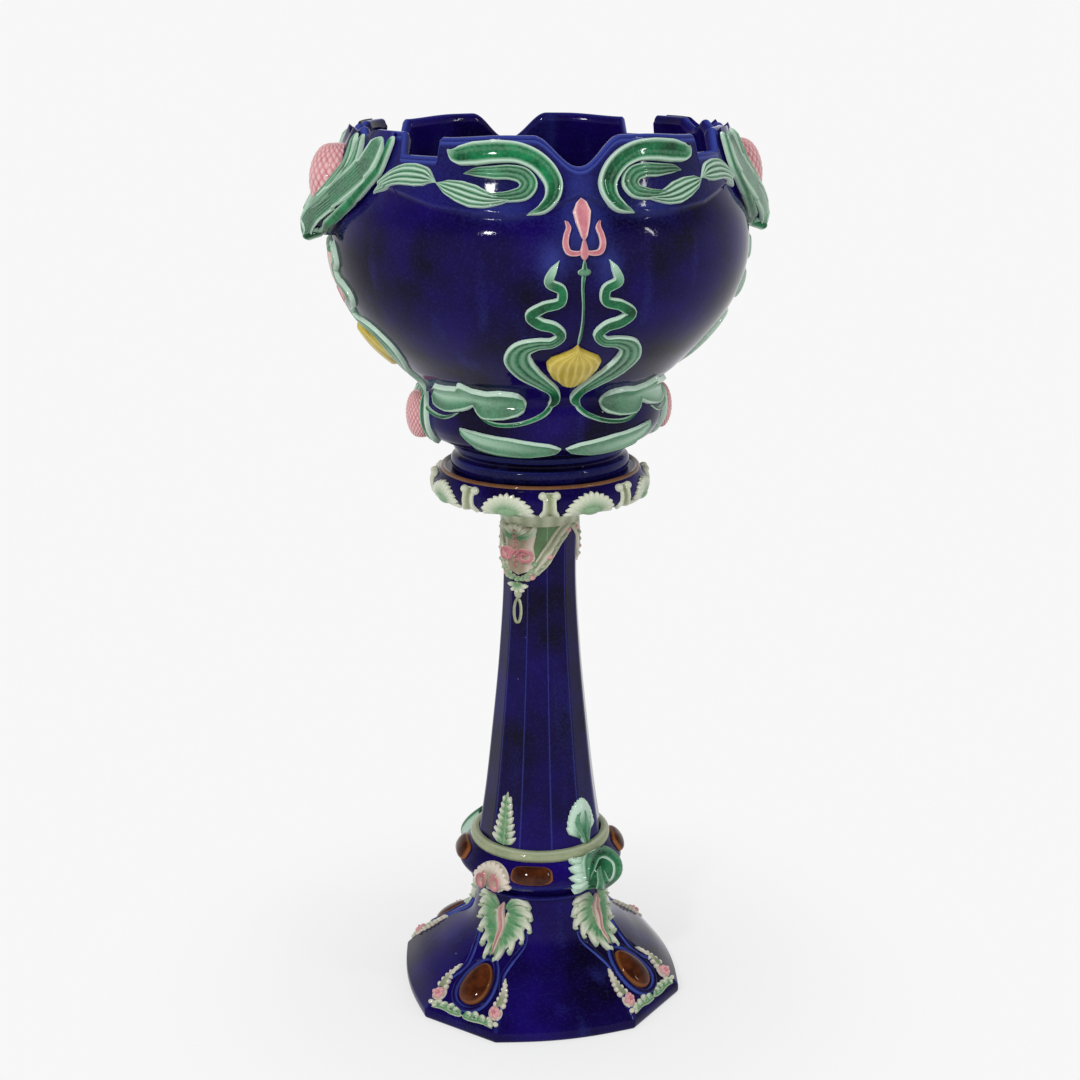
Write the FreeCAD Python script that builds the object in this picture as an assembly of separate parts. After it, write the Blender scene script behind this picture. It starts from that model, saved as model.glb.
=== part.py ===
"""A glazed earthenware jardiniere on its matching stand, in millimetres.

The set is two fired pieces: a round-bellied planter with a lobed rim, and a hollow stand with a twelve-sided
shaft on a flared foot. Each was pressed in several moulds and luted together, and its relief was pressed apart
and stuck on, so every mould part and every relief piece is a solid of its own here. Z points up, the origin is
the middle of the stand's underside, and the front of both pieces faces -Y.
"""

import FreeCAD, Part
import math
import os
from FreeCAD import Vector

OUT = "parts"
Z_AXIS = Vector(0, 0, 1)
ORIGIN = Vector(0, 0, 0)

# ---- the clay -------------------------------------------------------------------------------------------------
BOWL_WALL = 8.0          # thickness of the planter's wall
STAND_WALL = 9.0         # thickness of the stand's wall
SLIP = 0.25              # the skin of slip between a relief piece and the wall that it is stuck to
RELIEF = 4.0             # how far ordinary relief stands off the wall
FINE_RELIEF = 2.6        # the same for thin stems and sprays
SWAG_RELIEF = 3.5        # the same for the lobed panels under the rim
WALL_FLATS = 36          # flats round a wall that the back of each relief piece follows
OVAL_SIDES = 14          # short sides of each oval in the relief

# ---- the stand, from the floor up -----------------------------------------------------------------------------
FOOT_CORNER_R = 155.0    # from the axis to the foot's eight corners
CORNER_HALF_DEG = 16.8   # half the angle that each of the four short sides takes
PANEL_BULGE = 8.0        # how far the long sides bow out
FOOT_EDGE = 11.0         # height of the foot's upright edge
FOOT_H = 122.0           # floor to the top of the flared foot and its neck
ANKLE_R = 70.0           # radius of the neck where the foot meets the band
BAND_H = 44.0            # height of the ring that carries the knots
BAND_R = 87.0            # its greatest radius
BEAD_R = 5.0             # half the height of the pale roll above the band
ANKLE_BEAD = 4.0         # height of the thin roll at the ankle
SHAFT_H = 354.0          # length of the twelve-sided shaft
SHAFT_SIDES = 12
SHAFT_FOOT_R = 68.0      # shaft radius at its arrises, at the bottom
SHAFT_TOP_R = 38.3       # and at its narrowest, near the top
CAPITAL_H = 54.0         # shaft to the seat
CAPITAL_R = 108.5        # greatest radius of the capital
OVOLO_H = 27.0           # height of the capital's swelling edge
DECK_THICK = 10.0        # the flat top that the planter stands on
SEAT_R = 100.5           # radius of the brown line round the seat
SEAT_LINE = 2.5          # how far that line stands up from the deck
NECK_STEP = 2.5          # how far the neck under the capital stands off the shaft

# ---- the planter, from the seat up ----------------------------------------------------------------------------
RING_R = 90.0            # foot ring
RING_H = 28.0
RING_WALL = 12.0
RING_STEP = 3.0          # how deep the cove between its two rolls is cut
CUSHION_H = 60.0         # the swelling base between foot ring and waist
CUSHION_R = 123.0
WAIST_R = 118.0
BELLY_H = 146.0          # waist to the widest point
BELLY_R = 204.0
SHOULDER_H = 42.0        # widest point to the foot of the collar
SHOULDER_R = 190.5
COLLAR_H = 63.0          # the lobed collar
RIM_R = 172.0
FLOOR_THICK = 11.0

# ---- the rim's cut-outs, as angles from the front or back motif -----------------------------------------------
DIP_HALF = 40.0          # half the width of the dip over each motif
DIP_DEEP = 27.0
NOTCH_FROM_DEG = 41.0    # the square notch beside each handle
NOTCH_TO_DEG = 55.0
NOTCH_DEEP = 20.0
HORN_HALF = 22.0         # half the width of the hollow between the two horns over each handle
HORN_DEEP = 9.0

# ---- handles --------------------------------------------------------------------------------------------------
HANDLE_WIDE = 196.0      # across the handle at the rim
HANDLE_REACH = 25.0      # how far its lip stands out past the belly
HANDLE_DROP = 98.0       # rim down to the lip's point
HANDLE_BRIM = 7.0        # how far its side edges stand off the wall
FRUIT_WIDE = 66.0        # the fruit in each handle
FRUIT_TALL = 72.0
FRUIT_DEEP = 54.0
LUG_WIDE = 48.0          # the small fruit low on each side
LUG_TALL = 46.0
LUG_DEEP = 26.0

# ---- heights that follow --------------------------------------------------------------------------------------
BAND_Z = FOOT_H
SHAFT_Z = BAND_Z + BAND_H
CAPITAL_Z = SHAFT_Z + SHAFT_H
SEAT_Z = CAPITAL_Z + CAPITAL_H
CUSHION_Z = SEAT_Z + RING_H
WAIST_Z = CUSHION_Z + CUSHION_H
WIDEST_Z = WAIST_Z + BELLY_H
COLLAR_Z = WIDEST_Z + SHOULDER_H
RIM_Z = COLLAR_Z + COLLAR_H

# Curves between two driven points, as (share of the height, share of the change of radius).
CUSHION_SHAPE = ((0.0, 0.0), (0.13, 0.56), (0.33, 0.89), (0.56, 1.0), (0.78, 0.97))
BELLY_SHAPE = ((0.0, 0.0), (0.15, 0.24), (0.33, 0.53), (0.54, 0.80), (0.77, 0.96), (1.0, 1.0))
SHOULDER_SHAPE = ((0.5, 0.26), (1.0, 1.0))
COLLAR_SHAPE = ((0.5, 0.58), (1.0, 1.0))
SHAFT_SHAPE = ((0.0, 0.0), (0.16, 0.29), (0.35, 0.55), (0.60, 0.84), (0.84, 1.0), (1.0, 0.97))
FOOT_SHAPE = ((0.0, 1.0), (0.15, 0.80), (0.32, 0.48), (0.52, 0.14), (0.74, 0.02), (1.0, 0.0))


# ---- small tools ----------------------------------------------------------------------------------------------
def at(radius, z):
    return Vector(radius, 0, z)


def line(a, b):
    return Part.LineSegment(a, b).toShape()


def smooth(points):
    """One curve through the points, or a straight line through two."""
    if len(points) == 2:
        return line(points[0], points[1])
    curve = Part.BSplineCurve()
    curve.interpolate(points)
    return curve.toShape()


def closed(*runs):
    """A closed wire of runs of points. Each run is one smooth curve, and the runs meet at corners."""
    edges = [smooth(run) for run in runs]
    if (runs[-1][-1] - runs[0][0]).Length > 1e-6:
        edges.append(line(runs[-1][-1], runs[0][0]))
    return Part.Wire(edges)


def slab(z_low, z_high, radius=400.0):
    return Part.makeCylinder(radius, z_high - z_low, Vector(0, 0, z_low))


def turned(shape, degrees):
    copy = shape.copy()
    copy.rotate(ORIGIN, Z_AXIS, degrees)
    return copy


def solids_of(shape):
    """The shape's solids, without slivers."""
    kept = [s for s in shape.Solids if s.Volume > 20.0]
    return kept[0] if len(kept) == 1 else Part.makeCompound(kept)


def save(name, *shapes):
    parts = [s for shape in shapes for s in shape.Solids]
    whole = parts[0] if len(parts) == 1 else Part.makeCompound(parts)
    whole.exportStep(os.path.join(OUT, name + ".step"))


def pointing(degrees, tilt=0.0):
    """Unit vector away from the axis. Degrees are counted from the front, towards +X; tilt is upwards."""
    a = math.radians(degrees)
    t = math.radians(tilt)
    return Vector(math.sin(a) * math.cos(t), -math.cos(a) * math.cos(t), math.sin(t))


def spread(start, change, height, shape, base_z):
    """Stations (z, radius) of a curve that goes by shares of a height and of a change of radius."""
    return [(base_z + f * height, start + g * change) for f, g in shape]


# ---- walls ----------------------------------------------------------------------------------------------------
class Wall:
    """An outside surface that relief is stuck to. Each kind says how its solid grows outwards."""

    def __init__(self):
        self.made = {}

    def grown(self, extra):
        if extra not in self.made:
            self.made[extra] = self.solid(extra)
        return self.made[extra]


def lathe(places):
    """A solid turned from a closed outline with straight sides, given as (radius, height)."""
    section = Part.makePolygon([at(r, z) for r, z in list(places) + list(places[:1])])
    return Part.Face(section).revolve(ORIGIN, Z_AXIS, 360)


class Stationed(Wall):
    """A wall that is known by its radius at some heights, and runs straight from one to the next."""

    def __init__(self, stations):
        Wall.__init__(self)
        self.stations = stations

    def radius(self, z):
        for (z_a, r_a), (z_b, r_b) in zip(self.stations, self.stations[1:]):
            if z_a <= z <= z_b:
                return r_a + (z - z_a) / (z_b - z_a) * (r_b - r_a)
        return self.stations[0][1] if z < self.stations[0][0] else self.stations[-1][1]


class Turned(Stationed):
    """A round wall: short cones, one over the other. Relief is cut to flats that touch it."""

    def turned_solid(self):
        low, high = self.stations[0][0], self.stations[-1][0]
        return lathe([(0, low)] + [(r, z) for z, r in self.stations] + [(0, high)])

    def solid(self, extra):
        return many_sided([(z, r + extra) for z, r in self.stations], WALL_FLATS)

    def room(self, thickness, low, high):
        """The empty inside, plainer than the outside: a cone from every other station to the next."""
        inside = [(z, r) for z, r in self.stations[2:-1:2] if low + thickness < z < high - thickness]
        inside = [(low, self.radius(low))] + inside + [(high, self.radius(high))]
        return lathe([(0, low)] + [(r - thickness, z) for z, r in inside] + [(0, high)])


def many_sided(stations, sides):
    """A solid through regular sections with a flat at the front, each flat at the station's radius."""
    step = 360.0 / sides
    stretch = 1.0 / math.cos(math.radians(0.5 * step))
    rings = []
    for z, r in stations:
        corners = [pointing((i + 0.5) * step) * (r * stretch) + Vector(0, 0, z) for i in range(sides)]
        rings.append(Part.makePolygon(corners + corners[:1]))
    return Part.makeLoft(rings, True, True)


class Sided(Stationed):
    """The shaft: a loft through twelve-sided sections."""

    def __init__(self, stations, sides):
        Stationed.__init__(self, stations)
        self.sides = sides

    def section(self, radius, z):
        step = 360.0 / self.sides
        corners = [pointing(i * step) * radius + Vector(0, 0, z) for i in range(self.sides)]
        return Part.makePolygon(corners + corners[:1])

    def solid(self, extra):
        return Part.makeLoft([self.section(r + extra, z) for z, r in self.stations], True, True)


class Flare(Stationed):
    """The foot: four long bowed sides and four short corner sides, drawn in to a round ankle."""

    def section(self, radius, z, roundness):
        """Sixteen straight runs. Roundness 0 is the plan at the floor and 1 is a circle."""
        half = 45.0 - CORNER_HALF_DEG
        places = []
        for k in range(4):
            middle = 90.0 * k
            for turn in (-half, -0.4 * half, 0.4 * half, half):
                flat = radius * math.cos(math.radians(half)) / math.cos(math.radians(turn))
                bulge = PANEL_BULGE * radius / FOOT_CORNER_R * (1.0 - (turn / half) ** 2)
                reach = flat + bulge + roundness * (radius - flat - bulge)
                places.append(pointing(middle + turn) * reach + Vector(0, 0, z))
        return flat_sided(places)

    def solid(self, extra):
        low, high = self.stations[0][0], self.stations[-1][0]
        sections = []
        for z, r in self.stations:
            roundness = ((z - low) / (high - low)) ** 1.5
            sections.append(self.section(r + extra, z, roundness))
        return Part.makeLoft(sections, True, True)


# ---- drawing on a wall ----------------------------------------------------------------------------------------
class Easel:
    """A sheet that faces a wall at one angle and height: x runs across, y runs up."""

    def __init__(self, wall, degrees, height, tilt=0.0):
        self.wall = wall
        self.out = pointing(degrees, tilt)
        self.across = pointing(degrees + 90.0)
        self.up = pointing(degrees, tilt + 90.0)
        self.origin = pointing(degrees) * wall.radius(height) + Vector(0, 0, height)
        self.degrees = degrees

    def point(self, x, y):
        return self.origin + self.across * x + self.up * y

    def points(self, pairs):
        return [self.point(x, y) for x, y in pairs]

    def seen(self, pairs):
        """Sheet points of places on the wall that are given as (degrees round from the front, height)."""
        flat = []
        for degrees, z in pairs:
            place = pointing(degrees) * self.wall.radius(z) + Vector(0, 0, z) - self.origin
            flat.append((place.dot(self.across), place.dot(self.up)))
        return flat


def prism(easel, wire, reach):
    sheet = Part.Face(wire)
    sheet.translate(easel.out * (-0.5 * reach))
    return sheet.extrude(easel.out * reach)


def raised(easel, wire, height, lift=0.0, reach=90.0):
    """A relief piece: what lies inside the drawn outline, from just off the wall to the given height off it."""
    outer = easel.wall.grown(SLIP + lift + height)
    inner = easel.wall.grown(SLIP + lift)
    return solids_of(prism(easel, wire, reach).common(outer).cut(inner))


def pressed(easel, wire, height, reach=40.0):
    """A small relief piece with a flat face, at the given height off the wall at the sheet's middle."""
    piece = prism(easel, wire, reach)
    piece.translate(easel.out * (SLIP + height - 0.5 * reach))
    return outside(easel.wall, piece)


def outside(wall, piece):
    """What of a pressing lies outside the wall, between the wall's lowest and highest section."""
    kept = piece.common(slab(wall.stations[0][0], wall.stations[-1][0])).cut(wall.grown(SLIP))
    return solids_of(kept)


def stone(easel, half_wide, half_tall, height, x=0.0, y=0.0, sunk=9.0):
    """A polished oval stone: straight in the wall, then drawn in to a smaller face."""
    levels = ((1.0, -sunk), (1.0, 0.45 * height), (0.62, height))
    rings = []
    for share, depth in levels:
        ring = oval(easel, share * half_wide, share * half_tall, x, y)
        ring.translate(easel.out * (SLIP + depth))
        rings.append(ring)
    return outside(easel.wall, Part.makeLoft(rings, True, True))


def oval(easel, half_wide, half_tall, x=0.0, y=0.0):
    """An oval with short straight sides on the sheet."""
    turns = [2.0 * math.pi * i / OVAL_SIDES for i in range(OVAL_SIDES)]
    return flat_sided(easel.points([(x + half_wide * math.cos(t), y + half_tall * math.sin(t)) for t in turns]))


def flat_sided(points):
    """A closed wire with straight sides."""
    return Part.makePolygon(points + points[:1])


def ribbon(easel, spine, widths):
    """Outline of a ribbon along a smooth spine: two long sides, set off by the widths, and short ends."""
    curve = Part.BSplineCurve()
    curve.interpolate([Vector(x, y, 0) for x, y in spine])
    left, right = [], []
    for knot, width in zip(curve.getKnots(), widths):
        here = curve.value(knot)
        along = curve.tangent(knot)[0]
        side = Vector(-along.y, along.x, 0) * (0.5 * width)
        left.append(easel.point(here.x + side.x, here.y + side.y))
        right.append(easel.point(here.x - side.x, here.y - side.y))
    return flat_sided(left + right[::-1])


def lobed(easel, notches, tips):
    """Outline of a toothed leaf: from each notch out to a tip and back in to the next notch."""
    points = [place for pair in zip(notches, tips) for place in pair] + notches[-1:]
    return flat_sided(easel.points(points))


def both_sides(half):
    """The points of a half outline, from the bottom middle up to the top middle, and back down mirrored."""
    return list(half) + [(-x, y) for x, y in half[-2::-1]]


def flipped(pairs):
    return [(-x, y) for x, y in pairs]


# ---- the planter's walls --------------------------------------------------------------------------------------
def cushion_wall():
    base_r = RING_R - RING_STEP
    rise = spread(base_r, CUSHION_R - base_r, CUSHION_H, CUSHION_SHAPE, CUSHION_Z)
    return Turned(rise + [(WAIST_Z, WAIST_R)])


def belly_stations():
    belly = spread(WAIST_R, BELLY_R - WAIST_R, BELLY_H, BELLY_SHAPE, WAIST_Z)
    return belly + spread(BELLY_R, SHOULDER_R - BELLY_R, SHOULDER_H, SHOULDER_SHAPE, WIDEST_Z)


def collar_stations():
    return spread(SHOULDER_R, RIM_R - SHOULDER_R, COLLAR_H, COLLAR_SHAPE, COLLAR_Z)


CUSHION = cushion_wall()
BELLY = Turned(belly_stations())
COLLAR = Turned([(COLLAR_Z, SHOULDER_R)] + collar_stations())
BODY = Turned(belly_stations() + collar_stations())


def foot_ring():
    """Two rolls, one over the other, open underneath."""
    inside = RING_R - RING_WALL
    neck = RING_R - 2.0 * RING_STEP
    return lathe([(inside, SEAT_Z), (RING_R - RING_STEP, SEAT_Z), (RING_R, SEAT_Z + 0.14 * RING_H),
                  (RING_R, SEAT_Z + 0.40 * RING_H), (neck, SEAT_Z + 0.56 * RING_H),
                  (RING_R - RING_STEP, CUSHION_Z), (inside, CUSHION_Z)])


def base_cushion():
    """The swelling base with the planter's floor in it."""
    return CUSHION.turned_solid().cut(CUSHION.room(BOWL_WALL, CUSHION_Z + FLOOR_THICK, WAIST_Z))


def rim_cuts():
    """What the lobed rim leaves out: two dips, four square notches and the hollows over the handles."""
    cuts = []
    for middle in (0.0, 180.0):
        easel = Easel(BODY, middle, RIM_Z)
        side = [(0.0, -DIP_DEEP), (0.16, -0.85), (0.33, -0.62), (0.60, -0.30), (1.0, 0.0)]
        curve = [(f * DIP_HALF, -DIP_DEEP if g == -DIP_DEEP else g * DIP_DEEP) for f, g in side]
        right = easel.points(curve)
        left = easel.points(flipped(curve))[::-1]
        over = easel.points([(DIP_HALF, 0), (DIP_HALF, 9), (-DIP_HALF, 9), (-DIP_HALF, 0)])
        wire = closed(left, right, over[:2], over[1:3], over[2:])
        cuts.append(prism(easel, wire, 3.0 * BOWL_WALL))
    notch_deg = NOTCH_TO_DEG - NOTCH_FROM_DEG
    for start in (NOTCH_FROM_DEG, -NOTCH_TO_DEG, 180 + NOTCH_FROM_DEG, 180 - NOTCH_TO_DEG):
        section = Part.makePolygon([at(RIM_R - 30, RIM_Z - NOTCH_DEEP), at(RIM_R + 30, RIM_Z - NOTCH_DEEP),
                                    at(RIM_R + 30, RIM_Z + 9), at(RIM_R - 30, RIM_Z + 9),
                                    at(RIM_R - 30, RIM_Z - NOTCH_DEEP)])
        wedge = Part.Face(section).revolve(ORIGIN, Z_AXIS, notch_deg)
        cuts.append(turned(wedge, start - 90.0))
    for middle in (90.0, -90.0):
        easel = Easel(BODY, middle, RIM_Z)
        for shift in (-2.0 * HORN_HALF, 0.0, 2.0 * HORN_HALF):
            curve = easel.points([(shift - 0.8 * HORN_HALF, 0), (shift, -HORN_DEEP), (shift + 0.8 * HORN_HALF, 0)])
            over = easel.points([(shift + 0.8 * HORN_HALF, 9), (shift - 0.8 * HORN_HALF, 9)])
            wire = closed(curve, [curve[-1], over[0]], over, [over[1], curve[0]])
            cuts.append(prism(easel, wire, 3.0 * BOWL_WALL))
    return cuts


def planter_body():
    save("belly", BELLY.turned_solid().cut(BELLY.room(BOWL_WALL, WAIST_Z, COLLAR_Z)))
    collar = COLLAR.turned_solid().cut(COLLAR.room(BOWL_WALL, COLLAR_Z, RIM_Z))
    save("collar", solids_of(collar.cut(rim_cuts())))
    save("base_cushion", base_cushion())
    save("foot_ring", foot_ring())


# ---- relief round the rim -------------------------------------------------------------------------------------
SWAG_HALF_DEG = 39.0
SWAG_LOW = ((39.0, 841.0), (28.0, 846.0), (18.0, 842.0), (8.0, 850.0), (0.0, 861.0))
SCROLL_BACK = ((-15.0, 845.0), (-6.5, 852.0), (-7.0, 874.0), (-11.0, 893.0), (-21.0, 902.0), (-31.0, 899.0),
               (-38.0, 893.0))
SCROLL_BACK_WIDE = (4.0, 13.0, 16.0, 19.0, 19.0, 15.0, 3.0)
SCROLL_CURL = ((-36.0, 886.0), (-27.0, 884.0), (-17.0, 885.0), (-12.5, 877.0), (-14.0, 862.0), (-22.0, 856.0))
SCROLL_CURL_WIDE = (3.0, 9.0, 11.0, 11.0, 11.0, 5.0)
GARLAND_NEAR = ((-22.0, 857.0), (-27.0, 859.0), (-33.0, 861.0), (-39.0, 863.0))
GARLAND_NEAR_WIDE = (7.0, 19.0, 28.0, 12.0)
GARLAND_FAR = ((-40.0, 865.0), (-46.0, 871.0), (-52.0, 872.0), (-57.5, 868.0))
GARLAND_FAR_WIDE = (10.0, 26.0, 24.0, 10.0)
SIDE_NAMES = (("front", 0.0), ("back", 180.0))
HAND_NAMES = (("left", 1.0), ("right", -1.0))


def with_rim(pairs):
    """Moves heights that were measured on the first model along with the collar."""
    return [(d, z + RIM_Z - 913.0) for d, z in pairs]


def swags():
    """The lobed panel under each dip of the rim, lower edge in three scallops."""
    half_top = ((SWAG_HALF_DEG - 1.0, RIM_Z - 8.0), (22.0, RIM_Z - 3.0), (13.0, RIM_Z - 6.0), (7.0, RIM_Z - 19.0))
    for name, middle in SIDE_NAMES:
        easel = Easel(BODY, middle, COLLAR_Z)
        half = list(with_rim(SWAG_LOW))[::-1] + list(half_top)
        right = [easel.seen([(middle + d, z)])[0] for d, z in half]
        left = flipped(right)[::-1]
        dip = (0.0, right[-1][1] - 0.5 * DIP_DEEP)
        wire = flat_sided(easel.points(right + [dip] + left[:-1]))
        save("rim_swag_" + name, raised(easel, wire, SWAG_RELIEF, 0.0, 180.0))


def mirror_deg(pairs, hand, middle):
    return [(middle + hand * d, z) for d, z in with_rim(pairs)]


def scroll_leaves():
    """Each leaf is a crescent beside the dip with an inner strand that curls back under it."""
    for side, middle in SIDE_NAMES:
        for hand_name, hand in HAND_NAMES:
            easel = Easel(BODY, middle - 21.0 * hand, COLLAR_Z + 0.4 * COLLAR_H)
            back = ribbon(easel, easel.seen(mirror_deg(SCROLL_BACK, hand, middle)), SCROLL_BACK_WIDE)
            curl = ribbon(easel, easel.seen(mirror_deg(SCROLL_CURL, hand, middle)), SCROLL_CURL_WIDE)
            leaf = raised(easel, back, RELIEF, SWAG_RELIEF + SLIP)
            strand = raised(easel, curl, RELIEF, SWAG_RELIEF + SLIP)
            save("scroll_leaf_%s_%s" % (side, hand_name), solids_of(leaf.fuse(strand)))


def garlands():
    """Two pleated swellings from each scroll's tail to the handle."""
    for side, middle in SIDE_NAMES:
        for hand_name, hand in HAND_NAMES:
            easel = Easel(BODY, middle - 42.0 * hand, COLLAR_Z)
            near = ribbon(easel, easel.seen(mirror_deg(GARLAND_NEAR, hand, middle)), GARLAND_NEAR_WIDE)
            far = ribbon(easel, easel.seen(mirror_deg(GARLAND_FAR, hand, middle)), GARLAND_FAR_WIDE)
            save("garland_%s_%s" % (side, hand_name), raised(easel, near, RELIEF, SWAG_RELIEF + SLIP),
                 raised(easel, far, RELIEF + SWAG_RELIEF))


# ---- handles --------------------------------------------------------------------------------------------------
HANDLE_LEVELS = ((1.0, 1.0, 0.05), (0.66, 0.92, 0.30), (0.36, 0.66, 0.66), (0.12, 0.30, 0.93), (0.0, 0.07, 1.0))


BOW_STEPS = 3            # straight runs in each half of the lip's bow


def handle_section(easel, share_up, share_wide, share_out, swell=0.0):
    """Level outline of the lip: a bow over a chord. Its ends stand off the wall and its middle reaches out."""
    z = RIM_Z - HANDLE_DROP + share_up * (HANDLE_DROP - 4.0) + swell * (2.0 * share_up - 1.0)
    half = 0.5 * HANDLE_WIDE * share_wide + swell
    wall_r = BODY.radius(min(z, RIM_Z))
    out = wall_r + HANDLE_BRIM + share_out * (BELLY_R + HANDLE_REACH - wall_r - HANDLE_BRIM) + swell
    end = math.sqrt(max((wall_r + HANDLE_BRIM + swell) ** 2 - half * half, 1.0))
    direction = Vector(easel.out.x, easel.out.y, 0)
    lift = Vector(0, 0, z)
    inside = direction * (0.62 * wall_r - swell) + lift
    bow = []
    for i in range(-BOW_STEPS, BOW_STEPS + 1):
        share = i / BOW_STEPS
        bow.append(direction * (out + (end - out) * share * share) + easel.across * (half * share) + lift)
    return flat_sided(bow + [inside + easel.across * half, inside - easel.across * half])


def handle_body(easel, swell=0.0):
    sections = [handle_section(easel, *level, swell) for level in HANDLE_LEVELS[::-1]]
    return Part.makeLoft(sections, True, True)


def handle_easel(middle):
    return Easel(BODY, middle, RIM_Z - 0.5 * HANDLE_DROP)


FRUIT_RINGS = ((-1.0, 0.45), (-0.55, 0.86), (0.15, 1.0), (0.7, 0.72), (1.0, 0.25))


def fruit_shape(wide, deep, tall, degrees, radius, z):
    """A plump fruit, wider than deep, standing beside the axis: a loft through level ovals."""
    rings = []
    for up, share in FRUIT_RINGS:
        centre = Vector(0, 0, 0.5 * tall * up)
        across, along = 0.5 * wide * share, 0.5 * deep * share
        turns = [2.0 * math.pi * i / OVAL_SIDES for i in range(OVAL_SIDES)]
        rings.append(flat_sided([centre + Vector(across * math.cos(t), along * math.sin(t), 0) for t in turns]))
    fruit = Part.makeLoft(rings, True, True)
    fruit.rotate(ORIGIN, Z_AXIS, degrees)
    fruit.translate(pointing(degrees) * radius + Vector(0, 0, z))
    return fruit


def handles():
    wall = BODY.grown(SLIP)
    for name, middle in (("left", -90.0), ("right", 90.0)):
        easel = handle_easel(middle)
        lip = solids_of(handle_body(easel).cut(wall))
        fruit = fruit_shape(FRUIT_WIDE, FRUIT_DEEP, FRUIT_TALL, middle, BELLY_R - 9.0, RIM_Z - 52.0)
        save("handle_" + name, lip)
        clear = handle_body(easel, SLIP)
        save("handle_fruit_" + name, solids_of(fruit.cut(clear).cut(wall)))
        leaves = []
        for hand in (1.0, -1.0):
            outer = [(90.0, 42.0), (79.0, 22.0), (62.0, -2.0), (38.0, -26.0), (8.0, -42.0)]
            inner = [(30.0, 46.0), (38.0, 28.0), (39.0, 4.0), (29.0, -18.0), (9.0, -34.0)]
            for spine, widths in ((outer, (7, 19, 22, 17, 8)), (inner, (8, 15, 15, 13, 4))):
                drawn = [(hand * x, y) for x, y in spine]
                band = prism(easel, ribbon(easel, drawn, widths), 260.0)
                outside = handle_body(easel, SLIP + RELIEF)
                leaf = band.common(outside).cut(clear).cut(wall).cut(fruit)
                leaves.append(solids_of(leaf))
        save("handle_leaves_" + name, *leaves)


# ---- the four plant motifs ------------------------------------------------------------------------------------
TENDRIL = (((-6.0, 662.5), (-4.5, 675.0), (-12.5, 690.0), (-22.0, 713.0), (-14.0, 727.0), (-4.0, 736.0),
            (-6.5, 749.0), (-13.5, 759.0), (-5.0, 772.0), (-9.5, 784.0), (-5.5, 804.0)),
           (6.0, 6.0, 9.0, 16.0, 11.0, 9.0, 8.0, 9.0, 6.0, 9.0, 3.0))
BUD_STEM = (((-1.0, 727.0), (-0.6, 760.0), (-0.8, 800.0)), (5.0, 3.0, 6.0))
MOTIF_NAMES = (("front", 0.0), ("right", 90.0), ("back", 180.0), ("left", 270.0))


def on_belly(pairs, middle, hand=1.0):
    """Heights keep their place between waist and widest point when the belly changes."""
    grow = BELLY_H / 146.0
    return [(middle + hand * d, WAIST_Z + (z - 662.0) * grow) for d, z in pairs]


def trident(middle):
    easel = Easel(BODY, middle, WIDEST_Z + 24.0)
    bud = flat_sided(easel.points([(0.0, -12.0), (9.0, 12.0), (0.0, 25.0), (-9.0, 12.0)]))
    flower = pressed(easel, bud, RELIEF)
    base = pressed(easel, ribbon(easel, [(0.0, -26.0), (0.0, -16.0), (0.0, -8.0)], (5.0, 13.0, 4.0)), RELIEF)
    prongs = []
    for hand in (1.0, -1.0):
        spine = [(hand * x, y) for x, y in ((2.0, -14.0), (15.0, -10.0), (17.5, 15.0))]
        prongs.append(pressed(easel, ribbon(easel, spine, (5.0, 6.0, 2.0)), FINE_RELIEF))
    return solids_of(flower.fuse([base] + prongs))


def seed_pod(middle):
    easel = Easel(BODY, middle, WAIST_Z + 43.0, -40.0)
    right = [(0.0, -26.0), (18.0, -20.0), (28.0, -2.0), (14.0, 14.0), (0.0, 27.0)]
    wire = flat_sided(easel.points(right + flipped(right)[-2:0:-1]))
    return pressed(easel, wire, 2.0 * RELIEF)


def motifs():
    """The plant on each quarter of the belly. The handles hang where the side ones would flower."""
    flowers, stems, pods = [], [], []
    for name, middle in MOTIF_NAMES:
        easel = Easel(BODY, middle, WAIST_Z + 0.5 * BELLY_H)
        spine, widths = TENDRIL
        pair = []
        for hand in (1.0, -1.0):
            places = easel.seen(on_belly(spine, middle, hand))
            pair.append(raised(easel, ribbon(easel, places, widths), RELIEF))
        save("tendrils_" + name, *pair)
        if name in ("front", "back"):
            flowers.append(trident(middle))
        pods.append(seed_pod(middle))
        stem = ribbon(easel, easel.seen(on_belly(BUD_STEM[0], middle)), BUD_STEM[1])
        stems.append(raised(easel, stem, FINE_RELIEF))
    save("trident_flowers", *flowers)
    save("bud_stems", *stems)
    save("seed_pods", *pods)


# ---- relief on the waist and the base -------------------------------------------------------------------------
def waist_leaves():
    """A broad leaf with curled ends on each diagonal, lapping from the belly."""
    leaves = []
    for middle in (45.0, 135.0, 225.0, 315.0):
        easel = Easel(BODY, middle, WAIST_Z + 14.0)
        top = [(-46.0, 14.0), (-30.0, 23.0), (-12.0, 15.0), (0.0, 23.0), (12.0, 15.0), (30.0, 23.0), (46.0, 14.0)]
        low = [(38.0, -7.0), (22.0, -12.0), (0.0, -8.0), (-22.0, -12.0), (-38.0, -7.0)]
        leaves.append(raised(easel, flat_sided(easel.points(top + low)), RELIEF))
    save("waist_leaves", *leaves)


def base_leaves():
    """Two long leaves on the cushion at front and back, their broad ends meeting under the motif."""
    for name, middle in SIDE_NAMES:
        pair = []
        for hand in (1.0, -1.0):
            easel = Easel(CUSHION, middle + 26.0 * hand, CUSHION_Z + 22.0)
            spine = [(middle + hand * d, CUSHION_Z + up) for d, up in ((1.5, 17.0), (16.0, 17.0), (34.0, 18.0), (51.0, 27.0))]
            wire = ribbon(easel, easel.seen(spine), (5.0, 22.0, 18.0, 3.0))
            pair.append(raised(easel, wire, RELIEF))
        save("base_leaves_" + name, *pair)


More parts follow.
